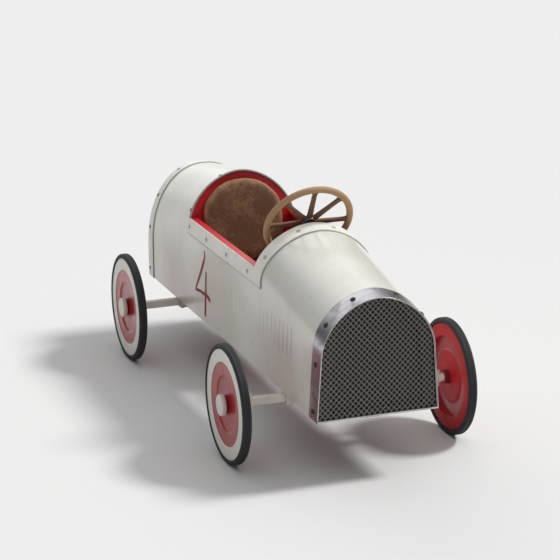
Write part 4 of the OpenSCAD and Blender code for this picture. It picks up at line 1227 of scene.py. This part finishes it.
class PEDALCAR_OT_seat(PieceOperator, bpy.types.Operator):
    """Stuffs and covers the seat back pad and the seat cushion"""

    bl_idname = "pedal_car.seat"
    bl_label = "Seat pads"

    frames = 20

    def execute(self, context):
        self.back_pad()
        self.cushion()
        return {"FINISHED"}

    def slab(self, outline, thickness):
        """A closed slab on an outline of (x, z) points, its back on the plane y = 0."""
        bm = bmesh.new()
        edges = chain(bm, [Vector((x, 0, z)) * MM for x, z in outline], closed=True)
        bmesh.ops.edgeloop_fill(bm, edges=edges)
        out = bmesh.ops.extrude_face_region(bm, geom=list(bm.faces))
        moved = [v for v in out["geom"] if isinstance(v, bmesh.types.BMVert)]
        bmesh.ops.translate(bm, verts=moved, vec=(0, -thickness * MM, 0))
        bmesh.ops.recalc_face_normals(bm, faces=bm.faces)
        made = as_object("slab", bm)
        voxels = made.modifiers.new("voxels", "REMESH")
        voxels.mode = "VOXEL"
        voxels.voxel_size = self.sizes.remesh
        return made

    def settle(self, made, pressure, cap):
        """Blows the slab up by the cloth solver, no point further than cap."""
        scene = bpy.context.scene
        graph = bpy.context.evaluated_depsgraph_get()
        start = bpy.data.meshes.new_from_object(made.evaluated_get(graph))
        made.modifiers.clear()
        made.data = start
        before = [v.co.copy() for v in start.vertices]
        cloth = made.modifiers.new("cloth", "CLOTH")
        use = cloth.settings
        use.quality = 6
        use.mass = 0.3
        use.tension_stiffness = use.compression_stiffness = 18
        use.shear_stiffness = 8
        use.bending_stiffness = 0.6
        use.use_pressure = True
        use.uniform_pressure_force = pressure
        use.effector_weights.gravity = 0
        cloth.collision_settings.use_collision = False
        cloth.point_cache.frame_start, cloth.point_cache.frame_end = 1, self.frames
        for number in range(1, self.frames + 1):
            scene.frame_set(number)
        graph = bpy.context.evaluated_depsgraph_get()
        blown = bpy.data.meshes.new_from_object(made.evaluated_get(graph))
        made.modifiers.clear()
        scene.frame_set(1)
        for v, was in zip(blown.vertices, before):
            step = v.co - was
            if step.length > cap:
                v.co = was + step.normalized() * cap
        made.data = blown

    def finish_pad(self, made, name, rub, place, node, fill, floor_y):
        """Smooths the pad, rests its back on the plane and marks where it is rubbed."""
        bm = bmesh.new()
        bm.from_mesh(made.data)
        bpy.data.objects.remove(made)
        for _ in range(3):
            bmesh.ops.smooth_vert(
                bm, verts=bm.verts, factor=0.5, use_axis_x=True, use_axis_y=True, use_axis_z=True
            )
        layer = bm.verts.layers.float.new("rub")
        for v in bm.verts:
            v.co.y = min(v.co.y, floor_y)
            v[layer] = rub(v.co / MM)
        carry(bm, place)
        pad = piece(name, bm, ["seat_leather"], BODY_OF[node], "brown_leather", (node,), sharp=80)
        smooth = pad.modifiers.new("supple", "SUBSURF")
        smooth.levels = smooth.render_levels = 1

    def back_pad(self):
        wide, rise = 101.0, 86.0
        spring, low = 362 - SEAT_BACK_Z, 243 - SEAT_BACK_Z
        outline = [(wide - 6, low), (wide, low + 6), (wide, spring)]
        outline += [(wide * math.cos(a), spring + rise * math.sin(a)) for a in
                    (math.pi * i / 36 for i in range(1, 36))]
        outline += [(-wide, spring), (-wide, low + 6), (-wide + 6, low)]
        made = self.slab(outline, 15.5)
        self.settle(made, 4.0, 0.0055)

        def rub(p):
            over = max(0.0, p.z - spring) / rise
            edge = math.hypot(p.x / wide, over)
            edge = max(edge, (low + 14 - p.z) / 14 * 0.9)
            return min(1.0, max(0.0, (edge - 0.80) / 0.12)) * 0.9

        self.finish_pad(made, "seat_back_cover", rub, SEAT_BACK, "seat_back_pad", 0.7, -0.0004)

    def cushion(self):
        lying = tilted(145, 211.3, -math.pi / 2)
        outline = eased([(107, -81, 16), (107, 81, 16), (-107, 81, 16), (-107, -81, 16)], steps=6)
        made = self.slab(outline, 20.5)
        self.settle(made, 4.0, 0.006)

        def rub(p):
            return min(1.0, max(0.0, (max(abs(p.x) / 105, abs(p.z) / 79) - 0.88) / 0.12)) * 0.6

        self.finish_pad(made, "seat_cushion_cover", rub, lying, "seat_cushion", 0.6, -0.0001)


class PEDALCAR_OT_chain(PieceOperator, bpy.types.Operator):
    """Links the roller chain round both sprockets"""

    bl_idname = "pedal_car.chain"
    bl_label = "Roller chain"

    # in millimetres: the sprockets' middles (y, z) and the chain's x
    pitch = 12.7
    front, rear = Vector((-217, 210)), Vector((AXLES["rear"], WHEEL_RADIUS))
    x = 15.0
    front_teeth, rear_teeth = 18, 12

    def execute(self, context):
        r0, r1 = (self.pitch / (2 * math.sin(math.pi / n)) for n in (self.front_teeth, self.rear_teeth))
        gap = self.rear - self.front
        aim = math.atan2(gap.y, gap.x)
        wrap = math.acos((r0 - r1) / gap.length)
        straight = math.sqrt(gap.length ** 2 - (r0 - r1) ** 2)
        arc0, arc1 = r0 * (math.tau - 2 * wrap), r1 * 2 * wrap

        def on(middle, radius, angle):
            return middle + radius * Vector((math.cos(angle), math.sin(angle)))

        def at(d):
            """The chain's point at a distance d along it."""
            if d < arc0:
                return on(self.front, r0, aim + wrap + d / r0)
            d -= arc0
            if d < straight:
                return on(self.front, r0, aim - wrap).lerp(on(self.rear, r1, aim - wrap), d / straight)
            d -= straight
            if d < arc1:
                return on(self.rear, r1, aim - wrap + d / r1)
            share = min(1.0, (d - arc1) / straight)
            return on(self.rear, r1, aim + wrap).lerp(on(self.front, r0, aim + wrap), share)

        whole = arc0 + arc1 + 2 * straight
        links = 2 * round(whole / self.pitch / 2)
        bm = bmesh.new()
        for k in range(links):
            a, b = at(whole * k / links), at(whole * ((k + 1) % links) / links)
            self.link(bm, a, b, outer=k % 2 == 0)
        piece("roller_chain", bm, ["oiled_steel"], "chassis", "oiled_steel", ("drive_chain",), sharp=35)
        return {"FINISHED"}

    def link(self, bm, a, b, outer):
        """Two waisted side plates and the roller at a."""
        along = (b - a).normalized()
        across = Vector((-along.y, along.x))
        half = (b - a).length / 2
        middle = (a + b) / 2
        shape = []
        for u, v in ((-1, 3.6), (-0.5, 2.5), (0, 2.1), (0.5, 2.5), (1, 3.6)):
            shape.append((u * half, v))
        nose = [(half + 3.0 * math.sin(t), 3.6 * math.cos(t)) for t in (0.8, 1.57, 2.34)]
        shape = shape + nose + [(u, -v) for u, v in reversed(shape)] + [(-u, v) for u, v in reversed(nose)]
        for side in (-1, 1):
            x0 = self.x + side * (4.4 if outer else 3.0)
            rings = [
                [Vector((x, *(middle + along * u + across * v))) * MM for u, v in shape]
                for x in (x0 - 0.6, x0 + 0.6)
            ]
            loft(bm, rings, closed=True, caps=True)
        rings = [
            [Vector((x, a.x + 2.9 * math.cos(t), a.y + 2.9 * math.sin(t))) * MM
             for t in turns(10)]
            for x in (self.x - 5.2, self.x + 5.2)
        ]
        loft(bm, rings, closed=True, caps=True)


# nodes whose shape stands as it is, with their edges eased: name, edge, finish, slot
EASED_NODES = (
    ("front_beam", 0.9, "ivory_beam", "ivory_paint"),
    ("axle_housing_left", 0.9, "ivory_beam", "ivory_paint"),
    ("axle_housing_right", 0.9, "ivory_beam", "ivory_paint"),
    ("front_clamps", 1.0, "ivory_beam", "ivory_paint"),
    ("rear_clamps", 1.0, "ivory_beam", "ivory_paint"),
    ("knuckle_left", 0.5, "ivory_beam", "ivory_paint"),
    ("knuckle_right", 0.5, "ivory_beam", "ivory_paint"),
    ("tie_rod", 0.6, "ivory_beam", "ivory_paint"),
    ("kingpins", 0.5, "polished_steel", "bare_steel"),
    ("tail_panel", 0.5, "ivory_enamel", "ivory_paint"),
    # near-black red under the body: painted shade
    ("chassis_rail_left", 0.6, "red_primer", "red_paint"),
    ("chassis_rail_right", 0.6, "red_primer", "red_paint"),
    ("cross_members", 0.6, "red_primer", "red_paint"),
    ("sill_rail_left", 1.2, "red_enamel", "red_paint"),
    ("sill_rail_right", 1.2, "red_enamel", "red_paint"),
    ("dash_hoop", 0.7, "red_enamel", "red_paint"),
    ("column_bracket", 0.7, "red_enamel", "red_paint"),
    ("crank_hangers", 0.7, "red_enamel", "red_paint"),
    ("seat_bulkhead", 0.8, "red_enamel", "red_paint"),
    ("seat_base", 0.5, "red_enamel", "red_paint"),
    ("steering_column", 0.5, "polished_steel", "bare_steel"),
    ("rear_axle", 0.5, "oiled_steel", "bare_steel"),
    ("pedal_crank", 0.9, "oiled_steel", "bare_steel"),
    ("rear_sprocket", 0.3, "oiled_steel", "oiled_steel"),
    ("front_sprocket", 0.3, "oiled_steel", "oiled_steel"),
    ("pedal_left", 1.4, "pedal_rubber", "pedal_rubber"),
    ("pedal_right", 1.4, "pedal_rubber", "pedal_rubber"),
    # the nose former is near-black: painted shade seen through the grille
    ("nose_ring", 0.8, "dark_lining", "former_wood"),
    ("tail_ring", 0.8, "former_wood", "former_wood"),
)


class PEDALCAR_OT_running_gear(PieceOperator, bpy.types.Operator):
    """Eases the edges of the frame, the axles, the steering, the drive and the formers"""

    bl_idname = "pedal_car.running_gear"
    bl_label = "Running gear and frame"

    def execute(self, context):
        for node, edge, finish_name, slot in EASED_NODES:
            bm = bmesh.new()
            bm.from_mesh(frame["nodes"][node].data)
            merge(bm, 1e-5)
            bmesh.ops.dissolve_limit(
                bm, angle_limit=math.radians(0.6), verts=bm.verts, edges=bm.edges,
                use_dissolve_boundaries=False,
            )
            for face in bm.faces:
                face.material_index = 0
            made = piece(f"{node}_eased", bm, [finish_name], BODY_OF[node], slot, (node,),
                         sharp=30, clean=False)
            ease_edges(made, edge * MM, angle=32)
        # the board behind the grille is near-black: painted shade seen through the wire
        lining = frame["nodes"]["nose_backing"]
        lining.data.materials.clear()
        lining.data.materials.append(finish("dark_lining"))
        return {"FINISHED"}


class PEDALCAR_OT_studio(PieceOperator, bpy.types.Operator):
    """Sets the pale floor, the soft lights and the camera"""

    bl_idname = "pedal_car.studio"
    bl_label = "Studio"

    key_towards, key_strength, key_spread = (0.655, -0.07, 0.75), 2.5, 13.0
    # grey of the backdrop, and the direction and strength of the glow behind the car
    backdrop = 0.84
    glow_towards, glow_strength = (0.0, 0.93, 0.37), 1.2
    # the camera's place, the direction it looks back from, its roll in degrees and its lens in millimetres
    camera_at, camera_back = (-1.5315, -4.2347, 1.5823), (-0.3266, -0.9026, 0.2805)
    camera_roll, camera_lens = -0.386, 134.45

    def execute(self, context):
        scene = context.scene
        bm = bmesh.new()
        bmesh.ops.create_grid(bm, x_segments=8, y_segments=8, size=60.0)
        ground = as_object("floor", bm)
        ground.data.materials.append(finish("studio_floor"))
        self.key(scene)
        self.world(scene)
        self.camera(scene)
        scene.view_settings.view_transform = "Standard"
        return {"FINISHED"}

    def key(self, scene):
        """A wide light far away."""
        towards = Vector(self.key_towards)
        lamp = bpy.data.lights.new("key", "SUN")
        lamp.energy = self.key_strength
        lamp.angle = math.radians(self.key_spread)
        lamp.color = (1.0, 0.995, 0.985)
        made = bpy.data.objects.new("key", lamp)
        made.rotation_euler = towards.to_track_quat("Z", "Y").to_euler()
        made.location = towards * 4
        scene.collection.objects.link(made)

    def world(self, scene):
        world = bpy.data.worlds.new("studio")
        world.use_nodes = True
        tree = world.node_tree
        tree.nodes.clear()
        seen = put(tree, "ShaderNodeBackground", {"Color": (*[self.backdrop] * 3, 1), "Strength": 1.0})
        towards = put(tree, "ShaderNodeTexCoord").outputs["Generated"]
        height = put(tree, "ShaderNodeSeparateXYZ", {0: towards}).outputs["Z"]
        above = band(tree, height, 0.12, 0.8, 0.04, 0.66)
        near = put(tree, "ShaderNodeVectorMath", {0: towards, 1: self.glow_towards}, operation="DOT_PRODUCT")
        behind = band(tree, near.outputs["Value"], 0.86, 0.95, 0.0, self.glow_strength)
        glow = plus(tree, above, behind)
        fill = put(tree, "ShaderNodeBackground", {"Color": (0.99, 0.995, 1.0, 1), "Strength": glow})
        path = put(tree, "ShaderNodeLightPath").outputs["Is Camera Ray"]
        both = put(tree, "ShaderNodeMixShader", {0: path, 1: fill.outputs[0], 2: seen.outputs[0]})
        out = put(tree, "ShaderNodeOutputWorld")
        tree.links.new(both.outputs[0], out.inputs["Surface"])
        scene.world = world

    def camera(self, scene):
        lens = bpy.data.cameras.new("camera")
        lens.lens = self.camera_lens
        lens.sensor_width = 36.0
        lens.clip_end = 200.0
        made = bpy.data.objects.new("camera", lens)
        back = Vector(self.camera_back).normalized()
        right = UP.cross(back).normalized()
        up = back.cross(right)
        roll = math.radians(self.camera_roll)
        x = math.cos(roll) * right + math.sin(roll) * up
        y = -math.sin(roll) * right + math.cos(roll) * up
        turn = Matrix((x, y, back)).transposed().to_4x4()
        made.matrix_world = Matrix.Translation(self.camera_at) @ turn
        scene.collection.objects.link(made)
        scene.camera = made


OPERATORS = (
    PEDALCAR_OT_body_shell,
    PEDALCAR_OT_bands,
    PEDALCAR_OT_louvres,
    PEDALCAR_OT_grille,
    PEDALCAR_OT_screws,
    PEDALCAR_OT_numeral,
    PEDALCAR_OT_steering_wheel,
    PEDALCAR_OT_wheels,
    PEDALCAR_OT_seat,
    PEDALCAR_OT_chain,
    PEDALCAR_OT_running_gear,
    PEDALCAR_OT_studio,
)


class PEDALCAR_PT_pieces(bpy.types.Panel):
    """Lists the car's pieces with their sizes and colours"""

    bl_label = "Pedal car"
    bl_space_type = "VIEW_3D"
    bl_region_type = "UI"
    bl_category = "Pedal car"

    def draw(self, context):
        for group in (context.scene.pedal_car_sizes, context.scene.pedal_car_colours):
            box = self.layout.box()
            for name in group.__annotations__:
                box.prop(group, name)
        for operator in OPERATORS:
            self.layout.operator(operator.bl_idname)


CLASSES = (PedalCarSizes, PedalCarColours, *OPERATORS, PEDALCAR_PT_pieces)


def register():
    for cls in CLASSES:
        bpy.utils.register_class(cls)
    bpy.types.Scene.pedal_car_sizes = PointerProperty(type=PedalCarSizes)
    bpy.types.Scene.pedal_car_colours = PointerProperty(type=PedalCarColours)


def unregister():
    del bpy.types.Scene.pedal_car_colours
    del bpy.types.Scene.pedal_car_sizes
    for cls in reversed(CLASSES):
        bpy.utils.unregister_class(cls)


def main():
    register()
    for operator in OPERATORS:
        family, name = operator.bl_idname.split(".")
        getattr(getattr(bpy.ops, family), name)()
    bpy.context.view_layer.update()


if __name__ == "__main__":
    main()
